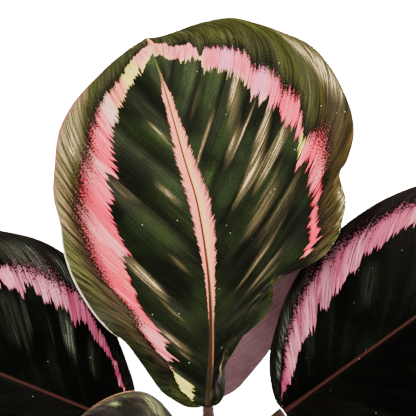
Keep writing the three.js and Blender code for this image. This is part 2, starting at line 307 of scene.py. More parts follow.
mainRightRing = [
    (33.6, 0.6, 0.6, 0.1), (36, 0.55, 0.64, 0.1), (41, 0.585, 0.63, 0.1), (46, 0.6, 0.645, 0.1),
    (48, 0.58, 0.61, 0.1), (50, 0.54, 0.585, 0.2), (52, 0.52, 0.575, 0.3), (54, 0.503, 0.6, 0.7),
    (58, 0.49, 0.625, 0.9), (61, 0.487, 0.6, 0.8), (65, 0.455, 0.55, 0.5), (67.5, 0.455, 0.51, 0.2),
    (69, 0.5, 0.53, 0.1), (72, 0.52, 0.588, 0.3), (75, 0.51, 0.625, 0.4), (79, 0.5, 0.615, 0.4),
    (81.5, 0.52, 0.59, 0.4), (83, 0.51, 0.62, 0.4), (88, 0.505, 0.635, 0.4), (92.5, 0.475, 0.61, 0.4),
    (94, 0.5, 0.585, 0.4), (98.5, 0.513, 0.65, 0.3), (104, 0.525, 0.66, 0.3), (112, 0.51, 0.645, 0.2),
    (116, 0.485, 0.65, 0.1), (118.5, 0.55, 0.56, 0), (120, 0.543, 0.63, 0.1), (123, 0.535, 0.7, 0.1),
    (127, 0.472, 0.672, 0.1), (131.5, 0.405, 0.613, 0.1), (135.5, 0.3, 0.56, 0.1),
    (137.5, 0.05, 0.49, 0.1),
]
# Colours along the same places: of the ring, just beyond it, by the margin, and of the rim. Some tones by
# the margin hold painted sheen and painted glow, and the white rim is a painted highlight.
mainTones = {
    "ringTones": (
        [(19.4, "lime"), (20.2, "blush"), (30, "blush"), (34, "rose"), (40, "rose"), (45, "salmon"),
         (50, "blush"), (52.6, "blush"), (53.2, "rose"), (57, "rose"), (60, "pink"), (65, "pink"),
         (67, "blush"), (68.8, "blush"), (69.4, "rose"), (74, "pink"), (79, "pink"), (83, "blush"),
         (87, "pearl"), (90, "shell"), (97, "peach"), (100, "lime"), (106, "lime"), (108.5, "shell"),
         (113, "blush"), (116.7, "shell")],
        [(33, "cream"), (35, "rose"), (60, "rose"), (66, "pink"), (66.8, "lime"), (68.6, "lime"),
         (69.4, "pink"), (80, "pink"), (85, "candy"), (88.5, "lilac"), (91.5, "lilac"), (95, "candy"),
         (101, "candy"), (104.5, "lilac"), (108.5, "lilac"), (112, "candy"), (117, "blush"),
         (118.5, "lime"), (120, "blush"), (131, "blush"), (134, "shell"), (137, "shell")],
    ),
    "beyondTones": (
        [(9.3, "moss"), (16.5, "soot"), (25, "bark"), (33, "bark"), (45, "bark"), (59, "olive"),
         (80, "moss"), (118, "moss")],
        [(10, "deep"), (28, "deep"), (34, "bark"), (40, "soil"), (60, "soil"), (68, "olive"),
         (90, "moss"), (108, "olive"), (120, "moss"), (141, "moss")],
    ),
    "marginTones": (
        [(7.6, "deep"), (16.5, "deep"), (24, "deep"), (28, "moss"), (32, "lawn"), (38, "lawn"),
         (41.5, "taupe"), (51, "taupe"), (72, "taupe"), (80, "olive"), (90, "moss"), (118, "olive")],
        [(10, "deep"), (27, "olive"), (30, "lawn"), (40, "fern"), (48, "sand"), (52, "soil"),
         (58, "olive"), (66, "olive"), (78, "olive"), (86, "fern"), (96, "olive"), (110, "moss"),
         (141, "olive")],
    ),
    "rimTones": (
        [(8, "rustRim"), (17, "sand"), (22.6, "whiteRim"), (39, "whiteRim"), (45, "pinkRim"),
         (118, "pinkRim")],
        [(8, "rustRim"), (26, "rustRim"), (30, "whiteRim"), (42, "whiteRim"), (46, "pinkRim"),
         (85, "pinkRim"), (95, "rustRim"), (141, "rustRim")],
    ),
}
# Painted highlights where the raised bands between the veins catch the light: (mm across the veins, how
# strongly, from, to).
mainPaintedHighlights = (
    [(29.4, 0, 0.12, 0.17), (30.8, 0.9, 0.13, 0.18), (32, 0.2, 0.13, 0.2), (33.3, 1, 0.13, 0.27),
     (34.4, 1, 0.13, 0.26), (35.4, 0, 0.13, 0.26), (44.4, 0, 0.14, 0.21), (46, 0.8, 0.145, 0.21),
     (47.4, 0.1, 0.2, 0.3), (48.4, 0.7, 0.22, 0.44), (50.4, 0.85, 0.22, 0.44), (52.4, 0.7, 0.24, 0.42),
     (53.6, 0, 0.24, 0.42), (60, 0, 0.12, 0.17), (61.7, 0.7, 0.125, 0.17), (63.4, 0, 0.13, 0.17),
     (65, 0.1, 0.42, 0.54), (66.4, 0.45, 0.4, 0.54), (68.5, 0.4, 0.36, 0.5), (69.4, 0, 0.36, 0.5),
     (75.2, 0, 0.14, 0.25), (76.6, 0.9, 0.145, 0.25), (77.8, 0.9, 0.145, 0.24), (79.2, 0, 0.15, 0.24),
     (93.4, 0, 0.13, 0.32), (95, 0.9, 0.13, 0.31), (96.2, 0.2, 0.13, 0.3), (97, 0, 0.13, 0.3)],
    [(12, 0, 0.3, 0.5), (14, 1.0, 0.4, 0.52), (17, 0.9, 0.28, 0.4), (19, 0, 0.3, 0.4), (26, 0, 0.4, 0.7),
     (28, 0.6, 0.4, 0.7), (30, 0, 0.4, 0.7), (40, 0, 0.24, 0.4), (42.5, 0.6, 0.26, 0.38),
     (45, 0, 0.2, 0.36), (47, 0.8, 0.22, 0.36), (50, 0.2, 0.2, 0.36), (53, 0, 0.2, 0.36),
     (57, 0, 0.12, 0.3), (59.5, 0.8, 0.14, 0.28), (62, 0.2, 0.2, 0.4), (64, 0.6, 0.26, 0.44),
     (66, 0, 0.2, 0.4), (68, 0.6, 0.2, 0.33), (71, 0.6, 0.22, 0.34), (73.5, 0, 0.3, 0.5),
     (75.2, 1.0, 0.29, 0.5), (77, 1.0, 0.33, 0.52), (78.6, 0.5, 0.2, 0.34), (80, 0.9, 0.2, 0.36),
     (82, 0.9, 0.28, 0.44), (84.3, 1.0, 0.36, 0.54), (86, 0, 0.4, 0.54), (90.1, 0, 0.25, 0.48),
     (90.8, 1.0, 0.25, 0.48), (91.6, 0.4, 0.24, 0.36), (93.6, 1.0, 0.24, 0.33), (95.5, 0.3, 0.3, 0.4),
     (98.5, 0.6, 0.34, 0.5), (101.5, 1.0, 0.4, 0.54), (103.2, 0, 0.45, 0.54), (105.4, 0, 0.1, 0.34),
     (106.7, 1.0, 0.08, 0.32), (108.6, 0, 0.1, 0.3), (114, 0, 0.2, 0.38), (116, 0.45, 0.22, 0.38),
     (118, 0, 0.24, 0.38)],
)
# The same outside the ring: painted sheen.
mainSheen = (
    [(29.6, 0, 0.9, 0.96), (33, 0.25, 0.9, 0.966), (36, 0.15, 0.85, 0.93), (39, 0, 0.85, 0.93),
     (46, 0.2, 0.86, 0.94), (50, 0.7, 0.87, 0.96), (54, 0.4, 0.88, 0.97), (57.5, 0.5, 0.84, 0.94),
     (60.7, 1, 0.8, 0.93), (66, 0.8, 0.78, 0.95), (71.5, 0.4, 0.8, 0.94), (75, 0, 0.86, 0.94),
     (86, 0, 0.91, 0.96), (89, 0.4, 0.91, 0.96), (92, 0, 0.91, 0.96), (106, 0, 0.92, 0.97),
     (110.5, 0.4, 0.91, 0.975), (114.5, 0, 0.92, 0.975)],
    [(34, 0, 0.9, 0.96), (36, 1.0, 0.86, 0.97), (42, 1.0, 0.88, 0.98), (45, 0, 0.8, 0.9),
     (47, 0.6, 0.82, 0.93), (50, 0, 0.8, 0.9), (54.5, 0, 0.9, 0.98), (56, 0.9, 0.88, 0.995),
     (59, 0.95, 0.82, 0.97), (62, 0.95, 0.77, 0.95), (65.5, 1.0, 0.82, 0.97), (70.5, 0.9, 0.87, 0.99),
     (73, 0, 0.93, 0.985), (75, 0.3, 0.8, 0.9), (78, 0, 0.8, 0.9), (92, 0, 0.86, 0.95),
     (96, 0.35, 0.86, 0.95), (99, 0, 0.86, 0.95), (118, 0, 0.86, 0.95), (122, 0.3, 0.86, 0.95),
     (126, 0, 0.86, 0.95)],
)
# The feathered zone beside the midrib: (share of the midrib, mm wide on the left, on the right).
mainFeather = [
    (0.16, 0.1, 0.1), (0.22, 0.9, 1.2), (0.29, 1.4, 2.2), (0.34, 1.7, 2.8), (0.4, 2.3, 4.0),
    (0.45, 2.8, 5.1), (0.5, 3.4, 5.5), (0.56, 3.8, 5.3), (0.61, 3.5, 4.7), (0.67, 3.2, 4.0),
    (0.72, 2.7, 3.6), (0.78, 2.1, 2.5), (0.83, 1.9, 2.3), (0.87, 0.6, 0.9), (0.93, 0.1, 0.1),
]
# The midrib's own line: (share of the midrib, half its width in mm, colour).
mainRib = [
    (0, 1.5, "ribOlive"), (0.08, 1.3, "ribOlive"), (0.14, 1.0, "ribBrown"), (0.3, 0.7, "ribBrown"),
    (0.42, 0.5, "ribRed"), (0.8, 0.3, "ribRed"), (0.86, 0.4, "ribPale"), (0.96, 0.3, "ribPale"),
]
commonRib = [(0, 1.6, "ribOlive"), (0.08, 1.1, "ribRed"), (0.6, 0.7, "ribRed"), (0.95, 0.3, "ribRed")]
wineRib = [(0, 1.1, "rib"), (0.1, 0.7, "rib"), (0.6, 0.6, "rib"), (0.95, 0.3, "rib")]

# What other halves have, with the places as shares of the whole way across the veins.
commonRing = [
    (0.06, 0.5, 0.5, 0.3), (0.1, 0.46, 0.56, 0.3), (0.2, 0.45, 0.62, 0.5), (0.33, 0.49, 0.69, 0.6),
    (0.34, 0.52, 0.67, 0.6), (0.5, 0.51, 0.68, 0.5), (0.51, 0.55, 0.7, 0.5), (0.64, 0.56, 0.71, 0.4),
    (0.65, 0.53, 0.66, 0.3), (0.8, 0.52, 0.68, 0.3), (0.9, 0.5, 0.68, 0.2), (0.96, 0.3, 0.58, 0.2),
    (0.99, 0.02, 0.4, 0.2),
]
lowerRing = [
    (0.06, 0.66, 0.66, 0.3), (0.1, 0.66, 0.74, 0.3), (0.2, 0.68, 0.8, 0.5), (0.33, 0.66, 0.8, 0.6),
    (0.5, 0.6, 0.76, 0.5), (0.65, 0.55, 0.72, 0.3), (0.9, 0.5, 0.68, 0.2), (0.99, 0.02, 0.4, 0.2),
]
commonTones = {
    "ringTones": [(0, "salmon"), (0.3, "pink"), (0.5, "rose"), (0.62, "pink"), (0.75, "blush"),
                  (0.8, "lime"), (0.84, "pink"), (1, "peach")],
    "beyondTones": [(0, "moss"), (0.3, "bark"), (0.6, "olive"), (1, "moss")],
    "marginTones": [(0, "moss"), (0.25, "fern"), (0.4, "taupe"), (0.6, "olive"), (1, "olive")],
    "rimTones": [(0, "rustRim"), (0.25, "whiteRim"), (0.5, "pinkRim"), (1, "pinkRim")],
}
# Painted highlights on the raised bands.
commonPaintedHighlights = [
    (0.2, 0, 0.2, 0.4), (0.26, 0.4, 0.2, 0.42), (0.3, 0, 0.2, 0.4), (0.4, 0, 0.25, 0.45),
    (0.45, 0.5, 0.25, 0.45), (0.5, 0, 0.2, 0.4), (0.6, 0, 0.3, 0.5), (0.63, 0.5, 0.2, 0.45),
    (0.67, 0, 0.2, 0.4),
]
# Painted sheen outside the ring.
commonSheen = [
    (0.2, 0, 0.86, 0.95), (0.3, 0.4, 0.8, 0.92), (0.36, 0, 0.8, 0.9), (0.5, 0, 0.86, 0.95),
    (0.56, 0.6, 0.86, 0.95), (0.64, 0, 0.86, 0.95),
]
# The same tables for the halves of the left, the right and the small leaf that the picture shows.
leftRing = [
    (9, 0.5, 0.5, 0.3), (11, 0.5, 0.556, 0.3), (13, 0.46, 0.6, 0.3), (15.5, 0.49, 0.655, 0.3),
    (16.6, 0.56, 0.6, 0.3), (18.7, 0.53, 0.64, 0.3), (21.8, 0.471, 0.612, 0.3), (24.3, 0.479, 0.59, 0.4),
    (26.3, 0.46, 0.6, 0.4), (29.3, 0.502, 0.61, 0.5), (31.5, 0.455, 0.635, 0.6),
    (32.8, 0.411, 0.635, 0.6), (34.8, 0.432, 0.633, 0.7), (35.2, 0.472, 0.633, 1),
    (38.8, 0.47, 0.634, 1), (41.9, 0.472, 0.645, 1), (44.3, 0.484, 0.652, 1), (46.2, 0.478, 0.65, 1),
    (47.9, 0.533, 0.64, 1), (51, 0.516, 0.62, 0.8), (51.5, 0.45, 0.615, 0.7), (53, 0.445, 0.6, 0.5),
    (55.3, 0.475, 0.593, 0.3), (58, 0.5, 0.57, 0.2), (65, 0.5, 0.62, 0.3), (75, 0.52, 0.66, 0.4),
    (90, 0.53, 0.68, 0.4), (105, 0.5, 0.66, 0.4), (118, 0.4, 0.6, 0.3), (127, 0.05, 0.4, 0.3),
]
rightRing = [
    (5, 0.43, 0.44, 0.4), (9, 0.32, 0.455, 0.4), (11.8, 0.3, 0.465, 0.5), (15.3, 0.278, 0.53, 0.6),
    (18.5, 0.275, 0.583, 0.8), (20.1, 0.271, 0.6, 1), (22.5, 0.3, 0.638, 1), (24.5, 0.338, 0.66, 1),
    (28.3, 0.351, 0.693, 1), (32.4, 0.353, 0.71, 1), (35, 0.336, 0.757, 1), (35.4, 0.438, 0.765, 1),
    (40, 0.376, 0.757, 1), (40.7, 0.412, 0.757, 0.9), (42, 0.446, 0.754, 0.9), (45, 0.433, 0.749, 0.9),
    (47.7, 0.479, 0.742, 0.9), (50.6, 0.454, 0.735, 0.8), (51.2, 0.527, 0.734, 0.8),
    (53.7, 0.536, 0.74, 0.8), (57.3, 0.501, 0.75, 0.8), (59.6, 0.543, 0.75, 0.7),
    (63.8, 0.57, 0.76, 0.7), (66.5, 0.586, 0.76, 0.6), (75, 0.58, 0.75, 0.5), (90, 0.55, 0.72, 0.4),
    (105, 0.5, 0.68, 0.4), (116, 0.3, 0.58, 0.3), (121, 0.02, 0.42, 0.3),
]
leftTones = {
    "ringTones": (None, [(9, "rose"), (18, "rose"), (23, "pink"), (32, "pink"), (34, "rose"),
    (35.5, "blush"),
                         (45, "blush"), (46.5, "mauve"), (51, "mauve"), (52, "rose"), (54, "blush"),
                         (60, "pink"), (128, "pink")]),
}
# Painted highlights on the raised bands.
leftPaintedHighlights = (None, [
    (24, 0, 0.2, 0.4), (27, 0.6, 0.22, 0.42), (30, 0, 0.25, 0.42), (33, 0, 0.25, 0.42),
    (35.5, 1, 0.24, 0.44), (38.5, 1, 0.27, 0.46), (41, 0, 0.3, 0.45), (43, 0, 0.3, 0.4),
    (45, 0.4, 0.25, 0.4), (47, 0, 0.25, 0.4), (52, 0, 0.3, 0.42), (53.5, 0.9, 0.3, 0.44),
    (55, 0.3, 0.2, 0.44), (60, 0.5, 0.2, 0.45), (70, 0, 0.2, 0.4),
])
# Painted sheen outside the ring.
leftSheen = (None, [
    (30, 0, 0.66, 0.84), (31.5, 0.8, 0.66, 0.86), (34, 0.8, 0.66, 0.86), (35.5, 0.1, 0.68, 0.84),
    (38, 0.2, 0.65, 0.9), (40, 1, 0.65, 0.88), (42, 0.7, 0.65, 0.88), (48, 0.7, 0.65, 0.84),
    (56, 0.3, 0.66, 0.8), (64, 0, 0.7, 0.8),
])
# Painted highlights, inside and outside the ring.
smallPaintedHighlights = [
    (8, 0, 0.5, 0.8), (10.5, 0.7, 0.5, 0.86), (13.5, 0.9, 0.52, 0.86), (14.5, 0, 0.6, 0.86),
    (15, 0, 0.8, 0.9), (16.5, 1, 0.8, 0.9), (18, 0, 0.8, 0.9), (19.6, 0, 0.7, 0.8),
    (20.2, 1, 0.7, 0.82), (22.5, 0.9, 0.7, 0.8), (23.5, 0, 0.7, 0.8),
]
rightTones = {
    "ringTones": ([(5, "rose"), (11, "rose"), (16, "pink"), (20, "blush"), (34, "blush"), (35, "mauve"),
                   (40, "mauve"), (42, "pink"), (50, "blush"), (52, "pink"), (66, "salmon"),
                   (122, "pink")],
                  None),
}
# Painted sheen outside the ring.
rightSheen = ([
    (8, 0, 0.5, 0.66), (10, 1, 0.52, 0.68), (14, 1, 0.58, 0.76), (17, 1, 0.66, 0.84),
    (22, 0.7, 0.68, 0.84), (27, 0.5, 0.72, 0.84), (32, 0, 0.75, 0.85),
], None)

# Colours as shares of the light that the surface gives back.
leafLook = {
    "dark": (0.0018, 0.0028, 0.0013), "deep": (0.0074, 0.0125, 0.0042), "green": (0.02, 0.034, 0.006),
    # Next line: colours of painted highlights, of their brightest cores, and of painted light on the
    # pleats' lit sides.
    "satin": (0.3, 0.225, 0.105), "glare": (0.95, 0.72, 0.36), "gleam": (0.026, 0.036, 0.016),
    "lime": (0.85, 0.78, 0.13), "cream": (0.95, 0.78, 0.25), "peach": (0.95, 0.26, 0.14),
    "shell": (0.95, 0.42, 0.22), "pearl": (0.95, 0.6, 0.5), "blush": (0.95, 0.3, 0.33),
    "salmon": (0.95, 0.095, 0.115), "pink": (0.95, 0.085, 0.16), "rose": (0.84, 0.032, 0.085),
    # lilac: the ring's own pale tone with a painted highlight in it.
    "lilac": (0.95, 0.26, 0.48), "candy": (0.95, 0.135, 0.265), "bark": (0.036, 0.024, 0.011),
    "soot": (0.0052, 0.0035, 0.0023), "soil": (0.026, 0.017, 0.0055), "olive": (0.034, 0.037, 0.0075),
    # fern and lawn: the margin's green with a painted glow of light through it; taupe: the margin's tone
    # with a painted sheen.
    "moss": (0.021, 0.024, 0.0071), "fern": (0.041, 0.05, 0.0064), "taupe": (0.23, 0.165, 0.075),
    "lawn": (0.06, 0.062, 0.018), "sand": (0.085, 0.048, 0.014),
    # whiteRim: a painted highlight on the rolled rim.
    "whiteRim": (0.9, 0.85, 0.6), "pinkRim": (0.41, 0.059, 0.056), "rustRim": (0.16, 0.034, 0.011),
    "ribRed": (0.16, 0.0084, 0.0076), "ribBrown": (0.034, 0.011, 0.0065),
    "ribOlive": (0.017, 0.0095, 0.0035), "ribPale": (0.12, 0.14, 0.027),
    "plume": (0.95, 0.24, 0.15), "plumeCream": (0.95, 0.56, 0.2), "dusk": (0.26, 0.051, 0.06),
    "gold": (0.32, 0.14, 0.055), "fuzz": (0.028, 0.017, 0.011), "speck": (0.9, 0.9, 0.8),
}
# What differs on the left and the right leaf, which stand in the shade, and on the small one. The left and
# the right leaf's colours are their own tones darkened by painted shade.
wineShadedLook = {
    "dark": (0.00063, 0.00085, 0.00051), "deep": (0.0018, 0.0024, 0.0016),
    # Among the next lines are dimmer colours of painted highlights and of painted light on the pleats' lit
    # sides.
    "green": (0.0042, 0.0066, 0.0049), "satin": (0.057, 0.071, 0.048), "glare": (0.17, 0.19, 0.15),
    "gleam": (0.0068, 0.0091, 0.0068), "salmon": (0.47, 0.1, 0.15), "pink": (0.56, 0.1, 0.21),
    "rose": (0.3, 0.033, 0.093), "blush": (0.73, 0.26, 0.34), "mauve": (0.33, 0.14, 0.19),
    "lime": (0.46, 0.17, 0.14), "peach": (0.4, 0.068, 0.085), "cream": (0.5, 0.2, 0.2),
    "rib": (0.045, 0.014, 0.012), "dusk": (0.068, 0.028, 0.041), "fuzz": (0.039, 0.034, 0.03),
    "speck": (0.4, 0.4, 0.38),
    **dict.fromkeys(("bark", "olive"), (0.0065, 0.0033, 0.0036)),
    **dict.fromkeys(("moss", "fern", "taupe"), (0.0035, 0.0046, 0.0035)),
    **dict.fromkeys(("whiteRim", "pinkRim", "rustRim"), (0.075, 0.0062, 0.0093)),
}
smallLook = {
    "dark": (0.003, 0.003, 0.0025), "green": (0.09, 0.115, 0.045), "fern": (0.049, 0.043, 0.022),
    # Among these are the colours of painted highlights.
    "taupe": (0.061, 0.047, 0.025), "satin": (0.26, 0.31, 0.12), "glare": (0.41, 0.47, 0.2),
    "whiteRim": (0.85, 0.35, 0.2),
    **dict.fromkeys(("deep", "moss"), (0.023, 0.018, 0.014)),
    **dict.fromkeys(("bark", "olive"), (0.016, 0.011, 0.012)),
    **dict.fromkeys(("pinkRim", "rustRim"), (0.8, 0.25, 0.14)),
}

# What a leaf has unless its own list says otherwise. A pair is for the left and the right half.
usual = {
    "shape": roundBase,
    "bend": 0.6,  # how far the midrib turns down, in radians
    "fold": 0.12,  # how steeply the halves rise from the midrib
    "wave": 4, "waves": 3,  # height of the margin's waves, and their number
    "dents": (),  # where the margin curls back: side, place, reach, depth
    "rows": 80, "columns": 22,  # of points, the columns on each half
    "veins": (commonVeins, commonVeins),
    "leaving": ((50, 34), (50, 34)),  # degrees of side veins off the midrib, and how many less by the tip
    "arriving": (0.2, 0.2),  # how far side veins lean out where they meet the margin
    "pleats": (None, None),  # strong side veins, as mm across the veins, where they aren't evenly apart
    "pleatDepth": (0.7, 0.7),
    "rings": (None, None), "satin": (None, None), "sheen": (None, None), "tones": {},
    "ringed": True, "plainRing": commonRing,  # the ring of a half that has none in "rings"
    "ribs": commonRib,
    "arch": (6, 12, 0.6, 0.6, 9),  # of the ring below the tip: top, foot, slopes, half width
    "lift": (1, 1),  # how bright the blade is inside the ring at its base, and at its tip
    "gloss": 0.12,
    "under": ((0.018, 0.005, 0.01), (0.052, 0.018, 0.03)),  # the two colours of the underside
}

# foot: where the stalk stands in the soil. base, axis, facing: where the blade starts, the way its midrib
# leaves, and the way its upper side looks. halves: its half widths, left and right with the tip up.
# phase: where the margin's waves start. margins and midrib: the main leaf's own lines. feather: only the
# main leaf has it. look: colours that differ from leafLook. halfLight: painted shade, the share of its
# colour that each half keeps.
leaves = [
    {
        "name": "main", "foot": (0, 4), "base": (0, 15, 245), "axis": (0, 0.4226, 0.9063),
        "facing": (0, -0.9063, 0.4226), "length": 167, "bend": 0.06, "fold": 0.05,
        "waves": 2.5, "phase": 0.15, "margins": (mainLeftMargin, mainRightMargin),
        "midrib": mainMidrib, "rows": 150, "columns": 34,
        "dents": [(1, 0.07, 0.05, 12), (1, 0.25, 0.035, 8), (1, 0.482, 0.035, 6)],
        "veins": (mainLeftVeins, mainRightVeins), "leaving": ((66, 54), (50, 28)), "arriving": (0.7, 0.2),
        "rings": (mainLeftRing, mainRightRing), "feather": mainFeather, "tones": mainTones,
        "satin": mainPaintedHighlights, "sheen": mainSheen, "ribs": mainRib, "lift": (1.05, 2.9),
        "arch": (3.2, 7.6, 1.3, 0, 8),
        "pleats": ((0, 11, 23, 36.8, 52.9, 69, 86, 102, 118.6),
                   (0, 12, 20, 35, 50, 66, 81, 94, 106, 118, 130, 141)),
        "pleatDepth": (0.8, 1.3),
    },
    {
        "name": "left", "foot": (-15, 8), "base": (-35, 21, 230), "axis": (-0.912, 0.078, 0.403),
        "facing": (0, -0.76, 0.65), "length": 160, "halves": (52, 62), "shape": fullBase,
        "bend": 0.35, "fold": 0.2, "wave": 3, "waves": 2.5, "phase": 0.3, "look": wineShadedLook,
        "rings": (None, leftRing), "plainRing": lowerRing, "ribs": wineRib, "tones": leftTones,
        "satin": leftPaintedHighlights, "sheen": leftSheen, "halfLight": (0.3, 1.0), "gloss": 0.04,
    },
    {
        "name": "right", "foot": (14, 11), "base": (35, 29, 233), "axis": (0.803, 0.2, 0.56),
        "facing": (0, -0.8, 0.6), "length": 172, "halves": (53, 50),
        "bend": 0.3, "fold": 0.15, "wave": 3, "waves": 2.5, "phase": 0.6, "look": wineShadedLook,
        "rings": (rightRing, None), "plainRing": lowerRing, "ribs": wineRib, "tones": rightTones,
        "sheen": rightSheen, "halfLight": (1.0, 0.15), "gloss": 0.04,
    },
    {
        "name": "back", "foot": (0, 34), "base": (0, 75, 209), "axis": (-0.17, 0.02, 0.985),
        "facing": (0.3, 0.94, 0.1), "length": 140, "halves": (59, 34), "shape": narrowBase,
        "bend": 0.1, "fold": 0.1, "wave": 2, "waves": 2, "phase": 0.1,
        "under": ((0.1, 0.046, 0.06), (0.24, 0.135, 0.15)),
    },
    {
        "name": "small", "foot": (-4, -10), "base": (-8, -18, 245), "axis": (-0.8, -0.5, 0.3),
        "facing": (-0.1, -0.6, 0.8), "length": 58, "halves": (22, 27),
        "bend": 0.9, "fold": 0.25, "wave": 2, "waves": 2, "phase": 0.55,
        "look": smallLook, "ringed": False, "satin": (None, smallPaintedHighlights), "sheen": (None, smallPaintedHighlights),
    },
    {
        "name": "front", "foot": (5, -24), "base": (10, -44, 212), "axis": (0.2, -0.93, 0.3),
        "facing": (0, 0.1, 1), "length": 142, "halves": (50, 50), "bend": 0.7, "phase": 0.2,
    },
    {
        "name": "front_right", "foot": (21, -9), "base": (46, -16, 206), "axis": (0.85, -0.45, 0.28),
        "facing": (-0.1, -0.25, 1), "length": 136, "halves": (48, 48), "phase": 0.7,
    },
    {
        "name": "front_left", "foot": (-19, -14), "base": (-44, -24, 186), "axis": (-0.78, -0.58, 0.22),
        "facing": (0, -0.2, 1), "length": 134, "halves": (46, 46), "phase": 0.4,
    },
    {
        "name": "back_left", "foot": (-20, 26), "base": (-38, 50, 186), "axis": (-0.72, 0.62, 0.3),
        "facing": (0, 0.25, 1), "length": 132, "halves": (47, 47), "phase": 0.9,
    },
    {
        "name": "back_right", "foot": (19, 28), "base": (46, 56, 168), "axis": (0.76, 0.6, 0.2),
        "facing": (0, 0.2, 1), "length": 136, "halves": (48, 48), "phase": 0.05,
    },
    {
        "name": "rear", "foot": (5, 44), "base": (4, 84, 156), "axis": (0.06, 0.98, 0.05),
        "facing": (0, 0, 1), "length": 114, "halves": (42, 42),
        "bend": 0.9, "fold": 0.1, "wave": 3, "phase": 0.5,
    },
]
leaves = [{**usual, **leaf, "look": {**leafLook, **leaf.get("look", {})}} for leaf in leaves]

# In mm, where nothing else is said.
blade = {
    "thickness": 0.8,
    "rimWidth": 0.9,  # over which the margin is rounded
    "ridgeWidth": 1.8, "ridgeDepth": 2.6,  # of the midrib below
    "grooveWidth": 1.1, "grooveDepth": 0.5,  # of the midrib's channel on the upper side
    "pleatWidth": 11, "pleatHeight": 0.9,  # between two strong side veins
    "baseHalf": 2.2,  # half the blade's width where it starts
    "crowding": 1.7,  # how much closer together the rows leave the midrib near the base
    "leftShift": 0.37,  # of the left margin's waves, as a share of a wave
}
# The painted pattern of the upper side, as shares of the way to the margin where nothing else is said.
pattern = {
    "longTeeth": 0.2, "fineTeeth": 0.1,  # of the ring's inner side
    "outerLongTeeth": 0.16, "outerFineTeeth": 0.08,
    "fading": 0.14,  # over which the ring's outer side breaks up where it is fuzziest
    "speckles": 5,  # how strongly
    "archRagged": 3,  # mm that the arch's edges stray
    "rimFrom": 0.978, "rimTo": 0.992,
    "roughness": 0.32, "dustScale": 0.22,
}


def ofSide(pair, side):
    # side is -1 on the left and 1 on the right
    return pair[(side + 1) // 2]


def unit(vectors):
    length = np.linalg.norm(vectors, axis=-1, keepdims=True)
    return vectors / np.maximum(length, 1e-9)


def lengthsOf(lines):
    return np.linalg.norm(np.diff(lines, axis=1), axis=2).sum(1)


class Outline:
    # a smooth line through points, by share of its length
    def __init__(self, points):
        self.points = np.array(points, float)
        self.steps = np.linspace(0, 1, 201)
        gone = np.linalg.norm(np.diff(self.through(self.steps), axis=0), axis=1)
        self.shares = np.concatenate([[0], np.cumsum(gone)]) / gone.sum()

    def through(self, step):
        last = len(self.points) - 1
        place = np.clip(step, 0, 1) * last
        index = np.minimum(np.floor(place).astype(int), last)
        part = (place - index)[..., None]
        before, here, after, beyond = (
            self.points[np.clip(index + shift, 0, last)] for shift in (-1, 0, 1, 2))
        leaving = (after - before) / 2
        coming = (beyond - here) / 2
        cubic = (2 * here - 2 * after + leaving + coming) * part ** 3
        square = (3 * after - 3 * here - 2 * leaving - coming) * part ** 2
        return cubic + square + leaving * part + here

    def at(self, share):
        return self.through(np.interp(share, self.shares, self.steps))

    def heading(self, share):
        step = np.interp(share, self.shares, self.steps)
        return unit(self.through(np.clip(step + 1e-4, 0, 1)) - self.through(np.clip(step - 1e-4, 0, 1)))

    def trend(self, share, reach):
        # the way it runs over a longer stretch
        return unit(self.at(np.clip(share + reach, 0, 1)) - self.at(np.clip(share - reach, 0, 1)))


def bezier(start, first, second, end, share):
    left = 1 - share
    early = left ** 3 * start + 3 * left ** 2 * share * first
    return early + 3 * left * share ** 2 * second + share ** 3 * end


def turned(vectors, angle):
    x, y = vectors[..., 0], vectors[..., 1]
    return np.stack([x * np.cos(angle) - y * np.sin(angle), x * np.sin(angle) + y * np.cos(angle)], -1)


def midribOf(leaf):
    length = leaf["length"]
    return Outline(leaf.get("midrib", [(0, 0), (0, length / 2), (0, length)]))


def marginOf(leaf, side):
    if "margins" in leaf:
        points = ofSide(leaf["margins"], side)
    else:
        reach = side * ofSide(leaf["halves"], side)
        points = [(across * reach, along * leaf["length"]) for along, across in leaf["shape"]]
    return Outline([(side * blade["baseHalf"], 0), *points])


def outward(along, side):
    return np.stack([side * along[..., 1], -side * along[..., 0]], -1)


def rowLine(midrib, margin, side, row, share):
    # the blade's rows: from the midrib to the same share of the margin
    leaving = row ** blade["crowding"]
    start = midrib.at(leaving)
    end = margin.at(row)
    reach = np.linalg.norm(end - start, axis=-1, keepdims=True) * 0.35  # how soft both bends are
    away = turned(midrib.heading(leaving), -side * math.pi / 4)
    along = margin.trend(row, 0.06)
    arriving = unit(along + 0.6 * outward(along, side))
    return bezier(start, start + away * reach, end - arriving * reach, end, share[..., None])


def sideVein(leaf, midrib, margin, side, start, share):
    # the side veins themselves: they run far ahead beside the margin
    places, endings, straightness = np.array(ofSide(leaf["veins"], side)).T
    ending = np.interp(start, places, endings)
    straight = np.interp(start, places, straightness)[..., None]
    atBase, less = ofSide(leaf["leaving"], side)
    origin = midrib.at(start)
    end = margin.at(ending)
    reach = np.linalg.norm(end - origin, axis=-1, keepdims=True)
    away = turned(midrib.heading(start), -side * np.radians(atBase - less * start ** 0.8))
    along = margin.trend(ending, 0.04)
    arriving = unit(along + ofSide(leaf["arriving"], side) * outward(along, side))
    second = end - arriving * reach * straight
    return bezier(origin, origin + away * reach * 0.45, second, end, share[..., None])


def crossed(first, second):
    # the cross products of two rows of flat vectors
    return first[:, 0] * second[:, 1] - first[:, 1] * second[:, 0]


